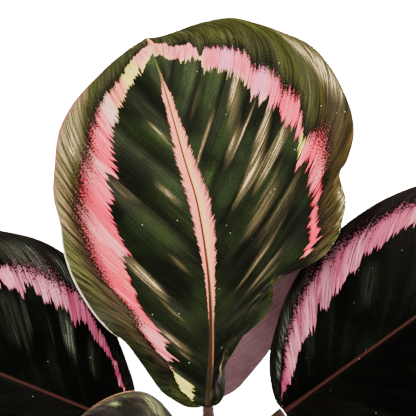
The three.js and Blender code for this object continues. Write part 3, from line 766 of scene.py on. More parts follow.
def veinPlaces(leaf, midrib, margin, side, points):
    # for flat points of a half: mm across the side veins, and share of the way to the margin
    starts = np.linspace(0, 1, 420)
    shares = np.linspace(0, 1, 90)
    measured = 58  # the column of the web where the mm across the veins are taken
    start, share = np.meshgrid(starts, shares, indexing="ij")
    web = sideVein(leaf, midrib, margin, side, start, share)
    heading = unit(web[:, measured + 2] - web[:, measured])
    apart = np.abs(crossed(np.diff(web[:, measured], axis=0), (heading[1:] + heading[:-1]) / 2))
    spacing = np.concatenate([[0], np.cumsum(apart)])
    tree = KDTree(web.shape[0] * web.shape[1])
    for index, (x, y) in enumerate(web.reshape(-1, 2)):
        tree.insert((x, y, 0), index)
    tree.balance()
    near = np.array([tree.find((x, y, 0))[1] for x, y in points])
    row, column = np.divmod(near, len(shares))
    gap = points - web[row, column]
    down, along = (np.gradient(web, axis=axis)[row, column] for axis in (0, 1))
    area = crossed(down, along)
    area = np.where(np.abs(area) < 1e-6, 1e-6, area)
    moveRow = np.clip(crossed(gap, along) / area, -0.6, 0.6)
    moveColumn = np.clip(crossed(down, gap) / area, -0.6, 0.6)
    across = np.interp(row + moveRow, np.arange(len(starts)), spacing)
    way = np.clip((column + moveColumn) / (len(shares) - 1), 0, 1)
    return across, way, spacing[-1]


def heightOf(leaf, side, row, share, across):
    shift = blade["leftShift"] if side < 0 else 0
    swing = fullTurn * (leaf["waves"] * row + leaf["phase"] + shift)
    height = leaf["fold"] * np.abs(across)
    height = height + leaf["wave"] * share ** 2.5 * np.sin(math.pi * row) * np.sin(swing)
    for dentSide, place, reach, depth in leaf["dents"]:
        if dentSide == side:
            height = height - depth * share ** 4 * np.exp(-(((row - place) / reach) ** 2))
    return height


def frameOf(leaf):
    along = Vector(leaf["axis"]).normalized()
    across = along.cross(Vector(leaf["facing"])).normalized()
    return np.array([across, along, across.cross(along)])


def placed(leaf, across, along, height):
    # rolls the flat blade back along an arc and sets it in its place
    radius = leaf["length"] / leaf["bend"]
    turn = along / radius
    local = np.stack([across, (radius + height) * np.sin(turn),
                      (radius + height) * np.cos(turn) - radius], -1)
    return local @ frameOf(leaf) + np.array(leaf["base"])


def columnShares(length, columns):
    # shares of a row at which the blade has points: close together by the midrib and at the rim
    slant = 1.41  # rows leave the midrib at 45 degrees
    near = np.array([0.35, 0.8, 1.3, 1.9, 2.7]) * slant / length
    near = near * min(1, 0.3 / near[-1])
    rim = min(blade["rimWidth"] / length, 0.2)
    middle = np.linspace(near[-1], 1 - rim, columns - 8)[1:]
    return np.concatenate([[0], near, middle, 1 - rim * np.array([0.6, 0.27, 0.08, 0])])


def pleatsOf(leaf, side, across, way):
    # the blade rises between strong side veins and dips at them
    places = ofSide(leaf["pleats"], side)
    if places is None:
        phase = across / blade["pleatWidth"]
    else:
        phase = np.interp(across, places, range(len(places)))
    crest = np.abs(np.sin(math.pi * phase)) ** 0.9
    grow = np.clip(way / 0.3, 0, 1) ** 1.2 * (1 - 0.6 * np.clip((way - 0.75) / 0.25, 0, 1))
    relief = ofSide(leaf["pleatDepth"], side) * blade["pleatHeight"] * (crest - 0.55) * grow
    near = np.clip(way / 0.12, 0, 1)
    return relief, 1 - (1 - crest) * near, side * np.sin(fullTurn * phase) * near


def fromMidrib(midrib, flat):
    # share of the midrib beside each point, and mm from it
    shares = np.linspace(0, 1, 300)
    along = np.interp(flat[..., 1], midrib.at(shares)[:, 1], shares)
    slope = midrib.heading(along)
    gap = flat - midrib.at(along)
    return along, gap[..., 0] * slope[..., 1] - gap[..., 1] * slope[..., 0]


def makeHalf(leaf, midrib, side, rows):
    # one half of a blade, lying flat: its points, their heights, and what the finish asks of them
    margin = marginOf(leaf, side)
    row = rows[:, None]
    lengths = lengthsOf(rowLine(midrib, margin, side, row, np.linspace(0, 1, 25)[None, :]))
    share = np.array([columnShares(length, leaf["columns"]) for length in lengths])
    flat = rowLine(midrib, margin, side, row, share)
    across, way, total = veinPlaces(leaf, midrib, margin, side, flat.reshape(-1, 2))
    across, way = across.reshape(share.shape), way.reshape(share.shape)
    way[:, 0] = 0
    way[:, -1] = 1
    relief, crest, lean = pleatsOf(leaf, side, across, way)
    along, distance = fromMidrib(midrib, flat)
    edge = (share - 1) * (lengthsOf(flat) / blade["rimWidth"])[:, None] + 1
    return {
        "flat": flat, "height": heightOf(leaf, side, row, share, flat[..., 0]), "total": total,
        "relief": relief, "crest": crest, "lean": lean, "edge": np.clip(edge, 0, 1),
        "veins": np.stack([across / mapUnit, side * way], -1),
        "rib": np.stack([along, distance / mapUnit], -1),
    }


def makeBlade(leaf):
    rows = np.linspace(0, 1, leaf["rows"], endpoint=False)
    midrib = midribOf(leaf)
    left, right = (makeHalf(leaf, midrib, side, rows) for side in (-1, 1))

    def both(key):
        return np.concatenate([left[key][:, :0:-1], right[key]], 1)

    flat, relief = both("flat"), both("relief")
    middle = placed(leaf, flat[..., 0], flat[..., 1], both("height"))
    normal = unit(np.cross(np.gradient(middle, axis=1), np.gradient(middle, axis=0)))
    distance = np.abs(both("rib")[..., 1]) * mapUnit
    tapering = 1 - rows[:, None]
    groove = blade["grooveDepth"] * np.exp(-(distance / blade["grooveWidth"]) ** 2) * tapering ** 0.3
    ridge = np.clip(1 - (distance / blade["ridgeWidth"]) ** 2, 0, 1) ** 1.5
    ridge = ridge * blade["ridgeDepth"] * tapering ** 0.8
    half = blade["thickness"] / 2 * np.sqrt(np.clip(1 - both("edge") ** 2, 0, 1))
    upper = middle + normal * (relief - groove + half)[..., None]
    under = middle + normal * (relief - groove * 0.5 - half - ridge)[..., None]
    x, y = midrib.at(np.array(1.0))
    tip = placed(leaf, x, y, heightOf(leaf, 1, 1.0, 0.0, x))
    mesh = sheetMesh("leaf_" + leaf["name"], upper, under, tip, (left, right))
    for name, atTip in (("crest", 1.0), ("lean", 0.0)):
        values = both(name)
        layer = mesh.attributes.new(name, "FLOAT", "POINT")
        layer.data.foreach_set("value", np.concatenate([values.ravel(), values[:, 1:-1].ravel(), [atTip]]))
    return mesh, {-1: left["total"], 1: right["total"]}


def sheetMesh(name, upper, under, tip, halves):
    # the upper and the under side share the points of the rim, and both close at the tip
    rows, width = upper.shape[:2]
    columns = width // 2
    points = np.concatenate([upper.reshape(-1, 3), under[:, 1:-1].reshape(-1, 3), tip[None]])
    above = np.arange(rows * width).reshape(rows, width)
    below = above.copy()
    below[:, 1:-1] = rows * width + np.arange(rows * (width - 2)).reshape(rows, width - 2)
    above, below = (np.vstack([sheet, np.full(width, len(points) - 1)]) for sheet in (above, below))
    faces, slots, maps = [], [], {"veins": [], "rib": []}
    grids = {name: (halves[0][name][:, ::-1], halves[1][name]) for name in maps}
    atTip = {"veins": [(half["total"] / mapUnit, 0) for half in halves], "rib": [(1, 0), (1, 0)]}

    def put(sheets, cells, slot):
        # where two corners are one point, as at the tip, the face gets it once
        corners = {int(sheet[cell]): cell for sheet, cell in zip(sheets, cells)}
        faces.append(list(corners))
        slots.append(slot)
        half = int(min(column for _, column in cells) >= columns)
        for layer, places in maps.items():
            grid = grids[layer][half]
            places += [grid[row, column - columns * half] if row < rows else atTip[layer][half]
                       for row, column in corners.values()]

    for row in range(rows):
        for column in range(width - 1):
            cells = [(row, column), (row, column + 1), (row + 1, column + 1), (row + 1, column)]
            put([above] * 4, cells, 0)
            put([below] * 4, cells[::-1], 1)
            if row == 0:
                cells = [(0, column + 1), (0, column), (0, column), (0, column + 1)]
                put([above, above, below, below], cells, 1)
    mesh = meshOf(name, points, faces, maps=maps)
    mesh.polygons.foreach_set("material_index", np.array(slots, np.int32))
    return mesh


class Skin(Finish):
    # a finish for one side of a blade, with the places that the blade's maps give
    def __init__(self, leaf, side, seed):
        super().__init__("leaf " + leaf["name"] + " " + side)
        across, self.signed = self.map("veins")
        self.along, offset = self.map("rib")  # share of the midrib
        self.x = across * mapUnit  # mm across the side veins
        self.way = abs(self.signed)  # share of the way from midrib to margin
        self.fromRib = offset * mapUnit  # mm, less than 0 on the left half
        self.aside = abs(self.fromRib)
        self.flat = self.at(self.along * leaf["length"], self.fromRib, seed)


class UpperSkin(Skin):
    # the same for the upper side, with the leaf's tables and the noises that run along its veins
    def __init__(self, leaf, totals, seed):
        super().__init__(leaf, "upper", seed)
        self.leaf = {**leaf, **leaf["tones"]}
        self.look = leaf["look"]
        self.totals = totals
        self.seed = seed
        self.right = self.signed > 0  # 1 on the right half, 0 on the left
        self.crest, self.lean = (self.relief(name) for name in ("crest", "lean"))
        self.inner, self.outer, self.fuzzy = self.parts(self.table("rings", leaf["plainRing"]))
        self.ringTone, self.beyondTone, self.marginTone, self.rimTone = (
            self.table(kind, common) for kind, common in commonTones.items())
        self.broad = self.alongVeins(0.3, 2.2, half=9, shift=40, detail=2, roughness=0.5)
        self.streaks = self.alongVeins(0.85, 3.5, half=9, shift=0, detail=3, roughness=0.6)
        self.threads = self.alongVeins(2.8, 5, half=5, shift=20, detail=2, roughness=0.5)
        self.grain = self.noise(self.flat, 1.3, 3, 0.75)
        self.cloud = self.noise(self.flat, 0.035, 3, 0.55)
        self.mottle = self.rise(self.grain, 0.35, 0.65, 0.5, 1.5)
        fine = self.threads * 0.6 + self.streaks * 0.2 + self.grain * 0.2
        self.fine = self.rise(fine, 0.4, 0.6, 0.1, 1.0)
        self.opening = self.way + self.x * 0.006  # how far out a place is, farther toward the tip

    def relief(self, name):
        # what the mesh says of a point's place on its pleat
        settings = {"attribute_name": name, "attribute_type": "GEOMETRY"}
        return self.node("Attribute", settings, None, 2)

    def alongVeins(self, across, way, half, shift, detail, roughness):
        # a noise drawn out along the veins; half and shift keep the noises apart
        place = self.at(self.x * across, self.way * way, self.right * half + (self.seed + shift))
        return self.noise(place, 1, detail, roughness)

    def table(self, kind, common):
        # the two halves' tables as one colour ramp each, mixed by side
        ramps = []
        for side in (-1, 1):
            rows = ofSide(self.leaf.get(kind, (None, None)), side)
            reach = self.totals[side]
            rows = [(row[0] / reach, *row[1:]) for row in rows] if rows else common
            stops = [(row[0], self.look[row[1]] if isinstance(row[1], str) else row[1:]) for row in rows]
            ramps.append(self.ramp(self.x / reach, stops))
        return self.mix(self.right, *ramps)


def ringMask(skin):
    # long teeth on the ring's inner side, and a speckled outer side
    streak, thread = skin.streaks - 0.5, skin.threads - 0.5
    toothed = skin.way + streak * pattern["longTeeth"] + thread * pattern["fineTeeth"]
    inside = skin.rise(toothed - skin.inner, -0.004, 0.006)
    left = skin.outer - skin.way + streak * pattern["outerLongTeeth"] + thread * pattern["outerFineTeeth"]
    fading = left / (skin.fuzzy * pattern["fading"] + 0.015)
    speckled = fading + (skin.grain - 0.5) * (skin.fuzzy * pattern["speckles"] + 0.6)
    return inside * skin.rise(speckled, 0.0, 0.35) * skin.rise(skin.outer - skin.inner, 0.0, 0.015)


def archMasks(skin):
    # the ring's arch below the tip, and what lies above it
    top, foot, onLeft, onRight, width = skin.leaf["arch"]
    slope = skin.right * (onRight - onLeft) + onLeft
    depth = (1 - skin.along) * skin.leaf["length"] - skin.aside * slope
    depth = depth + (skin.threads + skin.streaks - 1) * pattern["archRagged"]
    near = skin.rise(skin.aside, width, width - 1)
    arch = near * skin.rise(depth, top, top + 0.4) * skin.rise(depth, foot, foot - 0.4)
    return arch, near * skin.rise(depth, top + 0.5, top)


def highlights(skin, kind, common, ground):
    # painted highlights: streaks of light on the raised bands between the veins, mixed into the base
    # colour
    strength, start, end = skin.parts(skin.table(kind, common))
    place = skin.way + (skin.streaks - 0.5) * 0.1
    shine = skin.rise(strength, 0.1, 1.05) * skin.rise(place, start - 0.05, start + 0.04)
    shine = shine * skin.rise(place, end + 0.04, end - 0.07) * skin.fine
    glare = skin.rise(shine, 0.55, 0.92) * 0.85
    return skin.coats(ground, (shine * 0.8, skin.look["satin"]), (glare, skin.look["glare"]))


def innerField(skin):
    # inside the ring: dark, with greener clouds, painted light and painted shade on the pleats, and
    # painted highlights on the raised bands
    look = skin.look
    low, high = skin.leaf["lift"]
    field = skin.mix(skin.rise(skin.cloud, 0.38, 0.62), look["dark"], look["deep"])
    green = skin.rise(skin.cloud * 0.5 + skin.broad * 0.5, 0.52, 0.68) * 0.6
    # darker near the midrib, most toward the base, a painted shade; brighter toward the tip
    lift = skin.rise(skin.x, 50, 118, low, high) * skin.rise(skin.opening, 0.15, 0.5, low * 0.35, 1.0)
    field = skin.dim(skin.dim(skin.mix(green, field, look["green"]), lift), skin.mottle)
    lit = skin.rise(skin.lean + (skin.streaks - 0.5) * 0.8, 0.2, 1.1) * skin.fine
    lit = lit * skin.rise(skin.broad, 0.35, 0.6) * skin.rise(skin.opening, 0.15, 0.5)
    field = skin.coats(
        field,
        # painted light on the pleats' lit sides, then painted shade in the veins' creases and on the
        # pleats' shaded sides
        (lit * (0.6 - skin.right * 0.2), look["gleam"]),
        (skin.rise(skin.crest, 0.75, 0.05) * 0.9, look["dark"]),  # the veins' bottoms
        (skin.rise(skin.lean, -0.1, -0.9) * 0.6, look["dark"]),  # the pleats' shaded sides
    )
    return highlights(skin, "satin", commonPaintedHighlights, field)


def outerField(skin):
    # beyond the ring: brown and speckled beside it, paler by the margin, where the pale tones are partly
    # painted sheen and painted glow of light through the thin margin; then streaks of painted sheen
    lined = skin.streaks * 0.5 + skin.threads * 0.5
    near = skin.outer * 0.5 + 0.45
    edge = skin.rise(skin.way + (skin.streaks - 0.5) * 0.16, near, near + 0.15)
    margin = skin.mix(skin.rise(lined, 0.35, 0.65, 0.55, 0.0), skin.marginTone, skin.beyondTone)
    beyondShare = skin.rise(skin.way - skin.outer + (skin.grain - 0.5) * 0.2, 0.0, 0.12)
    field = skin.coats(
        skin.look["dark"],
        (beyondShare, skin.beyondTone),
        (edge, margin),
        (skin.rise(skin.grain, 0.6, 0.75) * 0.3 * skin.fuzzy, skin.look["fuzz"]),
    )
    field = skin.dim(field, skin.rise(lined, 0.38, 0.62, 0.25, 2.0) * (skin.mottle * 0.5 + 0.5))
    return highlights(skin, "sheen", commonSheen, field)


def ringColour(skin):
    # the ring's tone with paler and deeper streaks, cream tips inside and a dusky outer side
    look, threads, grain = skin.look, skin.threads, skin.grain
    share = (skin.way - skin.inner) / (skin.outer - skin.inner + 0.02)
    tint = skin.parts(skin.ringTone)
    rosy = skin.rise(tint[1] + tint[2], 0.8, 0.6)
    tips = skin.rise(share + (threads - 0.5) * 0.8, 0.2, -0.1) * skin.rise(skin.x, 78, 100)
    return skin.coats(
        skin.ringTone,
        (skin.rise(threads * 0.5 + skin.broad * 0.5, 0.52, 0.58) * rosy * 0.75, look["blush"]),
        (skin.rise(skin.streaks * 0.6 + threads * 0.4, 0.52, 0.45) * rosy * 0.8, look["rose"]),
        (skin.rise(grain, 0.42, 0.32) * 0.6, look["rose"]),
        (tips * 0.75, look["cream"]),
        (skin.rise(share + (grain - 0.5), 0.45, 1.05) * skin.fuzzy * 0.85, look["dusk"]),
        (skin.rise(threads * 0.6 + grain * 0.4, 0.45, 0.38) * 0.55, look["dusk"]),
    )


def feathered(skin, colour):
    # the pale feathered zone on both sides of the midrib
    look, threads = skin.look, skin.threads
    widest = 10  # mm that a full colour of the ramp stands for
    stops = [(place, (left / widest, right / widest, 0)) for place, left, right in skin.leaf["feather"]]
    wings = skin.parts(skin.ramp(skin.along, stops))
    wing = (wings[0] * (1 - skin.right) + wings[1] * skin.right) * widest
    reach = wing * (1 + (skin.streaks - 0.5) * 0.9 + (threads - 0.5) * 1.3)
    feather = skin.rise(reach - skin.aside, -0.05, 0.2) * skin.rise(wing, 0.15, 0.6)
    bright = skin.rise(abs(skin.fromRib - wing * 0.25) + (threads - 0.5) * 0.6, wing * 0.5, wing * 0.1)
    plume = skin.mix(skin.rise(threads, 0.4, 0.7) * 0.6, look["plume"], look["blush"])
    plume = skin.mix(bright * skin.rise(skin.along, 0.82, 0.54, 0.3, 0.8), plume, look["plumeCream"])
    return skin.mix(feather, colour, plume)


def ribbed(skin, colour):
    # the midrib's own line, with a golden edge on the right where the zone beside it is feathered
    look, threads, along = skin.look, skin.threads, skin.along
    widest = 3  # mm that a full colour of the ramp stands for
    ribs = skin.leaf["ribs"]
    width = skin.parts(skin.ramp(along, [(place, (half / widest, 0, 0)) for place, half, _ in ribs]))[0]
    width = width * widest
    tone = skin.ramp(along, [(place, look[name]) for place, _, name in ribs])
    tone = skin.mix(skin.rise(threads, 0.35, 0.65) * 0.4, tone, look["bark"])
    mask = skin.rise(width - skin.aside + (threads - 0.5) * 0.3, -0.15, 0.15)
    colour = skin.mix(mask * skin.rise(along, 0.96, 0.92), colour, tone)
    if "feather" not in skin.leaf:
        return colour
    golden = skin.rise(abs(skin.fromRib - width), 0.5, 0.15) * skin.rise(along, 0.08, 0.15)
    golden = golden * skin.rise(along, 0.42, 0.3) * skin.rise(threads, 0.3, 0.55, 0.3, 1.0)
    return skin.mix(golden * 0.9, colour, look["gold"])


def dusted(skin, colour):
    # pale specks of dust, in clouds
    sockets = {"Vector": skin.flat, "Scale": pattern["dustScale"]}
    specks = skin.node("TexVoronoi", {"feature": "F1"}, sockets)
    dust = skin.rise(specks, 0.045, 0.03) * (skin.noise(skin.flat, 0.07, 1) > 0.52)
    return skin.mix(dust, colour, skin.look["speck"])


def upperFinish(leaf, totals, seed):
    skin = UpperSkin(leaf, totals, seed)
    arch, aboveArch = archMasks(skin)
    ring = ringMask(skin)
    ring = ring + arch * (1 - ring)
    outside = skin.clip(skin.rise(skin.way - skin.outer, -0.02, 0.03) + aboveArch)
    colour = skin.mix(outside, innerField(skin), outerField(skin))
    if leaf["ringed"]:
        colour = skin.mix(ring, colour, ringColour(skin))
    # painted shade on the half that stands in shade
    if "halfLight" in leaf:
        onLeft, onRight = leaf["halfLight"]
        colour = skin.dim(colour, onLeft + (onRight - onLeft) * skin.right)
    if "feather" in leaf:
        colour = feathered(skin, colour)
    colour = ribbed(skin, colour)
    # the rim's own tones; where the tone is whiteRim, a painted highlight on the rolled rim
    rim = skin.rise(skin.way, pattern["rimFrom"], pattern["rimTo"])
    colour = skin.mix(rim * 0.85, colour, skin.rimTone)
    rough = pattern["roughness"] + (skin.streaks - 0.5) * 0.16 + (skin.threads - 0.5) * 0.1 + ring * 0.1
    if leaf["dents"]:
        # duller where the margin curls back near the base
        rough = rough + skin.right * skin.rise(skin.x, 24, 16) * skin.rise(skin.way, 0.4, 0.6) * 0.6
    skin.shade(baseColor=dusted(skin, colour), roughness=rough, specularIORLevel=leaf["gloss"],
               specularTint=(1.0, 0.93, 0.78))
    skin.bump((skin.threads - 0.5) * 0.3 + skin.streaks * 0.5, 0.25)
    return skin.material


def underFinish(leaf, seed):
    skin = Skin(leaf, "underside", seed)
    threads = skin.noise(skin.at(skin.x * 1.4, skin.way * 3, seed), 1, 3, 0.6)
    cloud = skin.noise(skin.flat, 0.04, 3, 0.6)
    colour = skin.mix(skin.rise(cloud * 0.6 + threads * 0.4, 0.35, 0.65), *leaf["under"])
    colour = skin.coats(
        colour,
        (skin.rise(1.6 - skin.aside, -0.3, 0.5), (0.06, 0.018, 0.018)),  # the midrib
        (skin.rise(skin.way, 0.98, 0.995) * 0.8, (0.18, 0.03, 0.035)),  # the rim
    )
    skin.shade(baseColor=colour, roughness=0.55 + (threads - 0.5) * 0.2, specularIORLevel=0.06)
    skin.bump(threads + cloud * 0.4, 0.3)
    return skin.material


for seed, leaf in enumerate(leaves):
    mesh, totals = makeBlade(leaf)
    materials = upperFinish(leaf, totals, seed * 3.7), underFinish(leaf, seed * 2.3)
    addPiece("leaf_" + leaf["name"], mesh, leaf["name"] + "_blade", "leaf", *materials)
    print("leaf", leaf["name"], len(mesh.polygons), "faces, mm across the veins", totals)


stalk = {
    "foot": 3.4, "neck": 2.3, "swelling": 2.6,  # radii
    "taperEnd": 0.6,  # share of the way up where the stalk is as thin as its neck
    "swellingLength": 20, "softness": 1.6, "waist": 0.12,  # the stalk is narrower just below the swelling
    "drop": 1, "gap": 0.3,  # below and before the place where the blade starts
    "depth": 22, "straight": 2,  # lengths in the soil, and upright above it
    "sides": 20, "rings": 90,
}
pot = {
    "height": 120, "rim": 65, "rimHeight": 22, "base": 47, "wall": 4.5, "floor": 8,
    "overhang": 4,  # of the rim beyond the wall, were it to go on to the top
    "drainRadius": 5, "drainCircle": 24, "drainCount": 4, "sides": 144,
}
soil = {
    "top": 108, "dome": 4,
    "clearance": 0.3,  # from the pot
    "rings": 90, "sides": 200,
    "grains": 1500,  # loose crumbs on top
    "stretch": ((0.7, 1.5), (0.6, 1.1), (0.35, 0.8)),  # least and most, of a crumb in x, y and z
}


def potOutside(height):
    return pot["base"] + (pot["rim"] - pot["overhang"] - pot["base"]) * height / pot["height"]


def potInside(height):
    return potOutside(height) - pot["wall"]


def soilHeight(distance):
    return soil["top"] + soil["dome"] * (1 - (distance / (pot["rim"] - pot["wall"])) ** 2)


def stalkPath(leaf):
    # from its end in the soil to the blade, and the length before it bends
    x, y = leaf["foot"]
    buried = stalk["depth"] + stalk["straight"]
    foot = np.array([x, y, soilHeight(math.hypot(x, y)) + stalk["straight"]])
    across, axis, up = frameOf(leaf)
    top = np.array(leaf["base"]) - axis * stalk["gap"] - up * stalk["drop"]
    rise = np.linalg.norm(top - foot)
    control = foot + np.array([0, 0, rise * 0.4])
    share = np.linspace(0, 1, 400)[:, None]
    path = bezier(foot, control, top - axis * rise * 0.3, top, share)
    below = np.linspace(foot - np.array([0, 0, buried]), foot, 20, endpoint=False)
    return np.concatenate([below, path]), buried


def stalkRadius(rising, left):
    # by its share of the way above the soil, and the mm left to the blade
    taper = min(max(rising / stalk["taperEnd"], 0), 1)
    taper = taper * taper * (3 - 2 * taper)
    radius = stalk["foot"] + (stalk["neck"] - stalk["foot"]) * taper
    past = left - stalk["swellingLength"]
    swell = 1 / (1 + math.exp(past / stalk["softness"]))
    radius += (stalk["swelling"] - radius) * swell
    return radius * (1 - stalk["waist"] * math.exp(-((past - 2) / 1.5) ** 2))


def makeStalk(leaf):
    path, buried = stalkPath(leaf)
    gone = np.concatenate([[0], np.cumsum(np.linalg.norm(np.diff(path, axis=0), axis=1))])
    total = gone[-1]
    stations = np.linspace(0, total, stalk["rings"])
    centres = np.stack([np.interp(stations, gone, path[:, axis]) for axis in range(3)], -1)
    tangents = unit(np.gradient(centres, axis=0))
    sides = stalk["sides"]
    side = np.array([1.0, 0, 0])
    points = []
    for centre, tangent, station in zip(centres, tangents, stations):
        side = side - tangent * side.dot(tangent)
        side = side / np.linalg.norm(side)
        other = np.cross(tangent, side)
        radius = stalkRadius((station - buried) / (total - buried), total - station)
        points += [centre + x * side + y * other for x, y, _ in circle(radius, 0, sides)]
    rings = ringNumbers(sides, stalk["rings"])
    faces = [*wallFaces(rings), rings[0][::-1], rings[-1]]
    heights = (stations - buried) / mapUnit
    places = [(step / sides, height) for low, high in zip(heights, heights[1:]) for turn in range(sides)
              for step, height in ((turn, low), (turn + 1, low), (turn + 1, high), (turn, high))]
    places += [(0, -0.2)] * sides + [(0, heights[-1])] * sides
    return meshOf("stalk_" + leaf["name"], points, faces, maps={"skin": places}), total - buried


def stalkFinish(leaf, length, seed):
    finish = Finish("stalk " + leaf["name"])
    turn, height = finish.map("skin")
    left = (length / mapUnit - height) * mapUnit
    lines = finish.noise(finish.at(turn * 26, height * 6, seed), 1, 3, 0.6)
    blotch = finish.noise(finish.at(turn * 3, height * 14, seed + 5), 1, 3, 0.6)
    lined = finish.rise(lines, 0.35, 0.65)
    low = finish.rise(height * mapUnit, 12, 75)
    red = finish.mix(lined, (0.035, 0.01, 0.007), (0.12, 0.034, 0.024))
    green = finish.mix(lined, (0.018, 0.024, 0.006), (0.048, 0.05, 0.012))
    colour = finish.mix(low * finish.rise(blotch, 0.2, 0.6, 0.6, 1.0), green, red)
    swelling = finish.rise(left, stalk["swellingLength"] + 1, stalk["swellingLength"] - 1)
    olive = finish.mix(finish.rise(lines, 0.3, 0.7), (0.02, 0.008, 0.005), (0.055, 0.017, 0.012))
    colour = finish.mix(swelling, colour, olive)
    finish.shade(baseColor=colour, roughness=0.42 + (lines - 0.5) * 0.3, specularIORLevel=0.2)
    finish.bump(lines + blotch * 0.4, 0.25)
    return finish.material


for seed, leaf in enumerate(leaves):
    mesh, length = makeStalk(leaf)
    addPiece("stalk_" + leaf["name"], mesh, leaf["name"] + "_stalk", "stalk",
             stalkFinish(leaf, length, seed * 1.9))
print("stalks made")


def soilFinish():
    finish = Finish("soil")
    place = finish.place()
    lumps = finish.noise(place, 260, 4, 0.65)
    cloud = finish.noise(place, 40, 2, 0.5)
    colour = finish.mix(finish.rise(lumps, 0.35, 0.7), (0.006, 0.0035, 0.0022), (0.04, 0.022, 0.012))
    colour = finish.mix(finish.rise(cloud, 0.4, 0.7) * 0.4, colour, (0.019, 0.013, 0.008))
    finish.shade(baseColor=colour, roughness=0.9 + (lumps - 0.5) * 0.15)
    finish.bump(lumps, 1.2)
    return finish.material


def makeSoil():
    # closed body: fine lumpy top, plain wall and floor
    sides, clearance = soil["sides"], soil["clearance"]
    inside = potInside(soil["top"]) - clearance
    draw = np.random.default_rng(4)
    sizes = ((0.06, 0.8, 8), (0.2, 0.5, 14), (0.6, 0.35, 24))  # how fine the lumps are, height, number
    waves = [(draw.uniform(-1, 1, 2) * size, draw.uniform(0, 6), height)
             for size, height, count in sizes for _ in range(count)]
    points = []
    for radius in inside * np.linspace(1, 0, soil["rings"], endpoint=False) ** 0.8:
        edge = min((inside - radius) / 2, 1)
        for x, y, _ in circle(radius, 0, sides):
            lump = sum(height * math.sin(k[0] * x + k[1] * y + phase) for k, phase, height in waves) * 0.4
            points.append((x, y, soilHeight(radius) - soilHeight(inside) + soil["top"] + lump * edge))
    rings = ringNumbers(sides, soil["rings"])
    middle = [len(points)] * sides
    points.append((0, 0, soil["top"] + soil["dome"]))
    floor = pot["floor"] + clearance
    bottom = ringNumbers(sides, 1, len(points))[0]
    points += circle(potInside(floor) - clearance, floor, sides)
    faces = [*wallFaces([*rings, middle]), *wallFaces([bottom, rings[0]]), bottom[::-1]]
    return meshOf("soil_body", points, faces)


def lumpShape():
    # the corners and faces of a low ball
    ball = bmesh.new()
    bmesh.ops.create_icosphere(ball, subdivisions=1, radius=1)
    corners = np.array([vertex.co for vertex in ball.verts])
    faces = [[vertex.index for vertex in face.verts] for face in ball.faces]
    ball.free()
    return corners, faces


def makeCrumbs():
    # loose bits of bark and earth lying on the soil
    draw = np.random.default_rng(11)
    corners, shape = lumpShape()
    inside = potInside(soil["top"]) - 3
    points, faces = [], []
    for _ in range(soil["grains"]):
        distance = inside * math.sqrt(draw.random())
        turn = draw.uniform(0, fullTurn)
        size = draw.uniform(0.5, 1.3) if draw.random() < 0.85 else draw.uniform(1.4, 2.8)
        stretch = size * np.array([draw.uniform(*reach) for reach in soil["stretch"]])
        heading = Matrix.Rotation(draw.uniform(0, 6.28), 3, "Z")
        spin = np.array(heading @ Matrix.Rotation(draw.uniform(-0.5, 0.5), 3, "X"))
        rough = corners * (1 + draw.uniform(-0.22, 0.22, (len(corners), 1))) * stretch
        x, y = distance * math.cos(turn), distance * math.sin(turn)
        faces += [[len(points) + index for index in face] for face in shape]
        points += list(rough @ spin.T + np.array([x, y, soilHeight(distance) + size * 0.1 - 0.3]))
    return meshOf("soil_crumbs", points, faces, smooth=False)


def crumbFinish():
    finish = Finish("bark and crumbs")
    place = finish.place()
    tone = finish.noise(place, 180, 2, 0.5)
    fibre = finish.noise(place, 900, 3, 0.6)
    colour = finish.ramp(tone, [
        (0.3, (0.007, 0.004, 0.0025)), (0.45, (0.026, 0.014, 0.007)), (0.58, (0.08, 0.04, 0.018)),
        (0.7, (0.015, 0.01, 0.006)),
    ])
    colour = finish.mix(finish.rise(fibre, 0.4, 0.7) * 0.4, colour, (0.005, 0.0032, 0.002))
    finish.shade(baseColor=colour, roughness=0.88 + (fibre - 0.5) * 0.2)
    finish.bump(fibre, 0.4)
    return finish.material


addPiece("soil_body", makeSoil(), "soil", "soil", soilFinish())
addPiece("soil_crumbs", makeCrumbs(), None, "soil", crumbFinish())
print("soil made")


def potCorners():
    # the profile's corners, from the middle of the bottom up and over the rim: radius, height, rounding
    height, rim, floor = pot["height"], pot["rim"], pot["floor"]
    rimLow = height - pot["rimHeight"]
    return [
        (0, 0, 0),
        (pot["base"] - 1.5, 0, 0),
        (potOutside(1.5), 1.5, 1),
        (potOutside(rimLow - 1), rimLow - 1, 0.6),
        (rim - 1.2, rimLow + 0.6, 0.8),
        (rim, rimLow + 3, 1.5),
        (rim, height - 2, 1.5),
        (rim - 1, height - 0.5, 0.8),
        (rim - 3, height, 0.8),
        (potInside(height) + 2, height, 0.8),
        (potInside(height - 2), height - 2, 0.8),
        (potInside(floor), floor, 2),
        (0, floor, 0),
    ]


def rounded(corners):
    # a profile with its corners turned into short arcs, and long straights cut into steps
    line = []
    for index, (radius, z, arc) in enumerate(corners):
        here = np.array([radius, z], float)
        if arc == 0:
            line.append(here)
            continue
        start, end = (np.array(corners[index + step][:2], float) - here for step in (-1, 1))
        start, end = (here + unit(way) * min(arc, np.linalg.norm(way) * 0.45) for way in (start, end))
        for share in np.linspace(0, 1, 5):
            line.append((1 - share) ** 2 * start + 2 * share * (1 - share) * here + share ** 2 * end)
    fine = [line[0]]
    for start, end in zip(line, line[1:]):
        steps = max(1, int(np.linalg.norm(end - start) / 5))
        fine += [start + (end - start) * step / steps for step in range(1, steps + 1)]
    return fine


def makePot():
    sides = pot["sides"]
    points, rings = [], []
    for radius, z in rounded(potCorners()):
        if radius < 1e-6:
            rings.append([len(points)] * sides)
            points.append((0, 0, z))
        else:
            rings += ringNumbers(sides, 1, len(points))
            points += circle(radius, z, sides)
    return meshOf("clay_pot", points, wallFaces(rings), smooth=False)


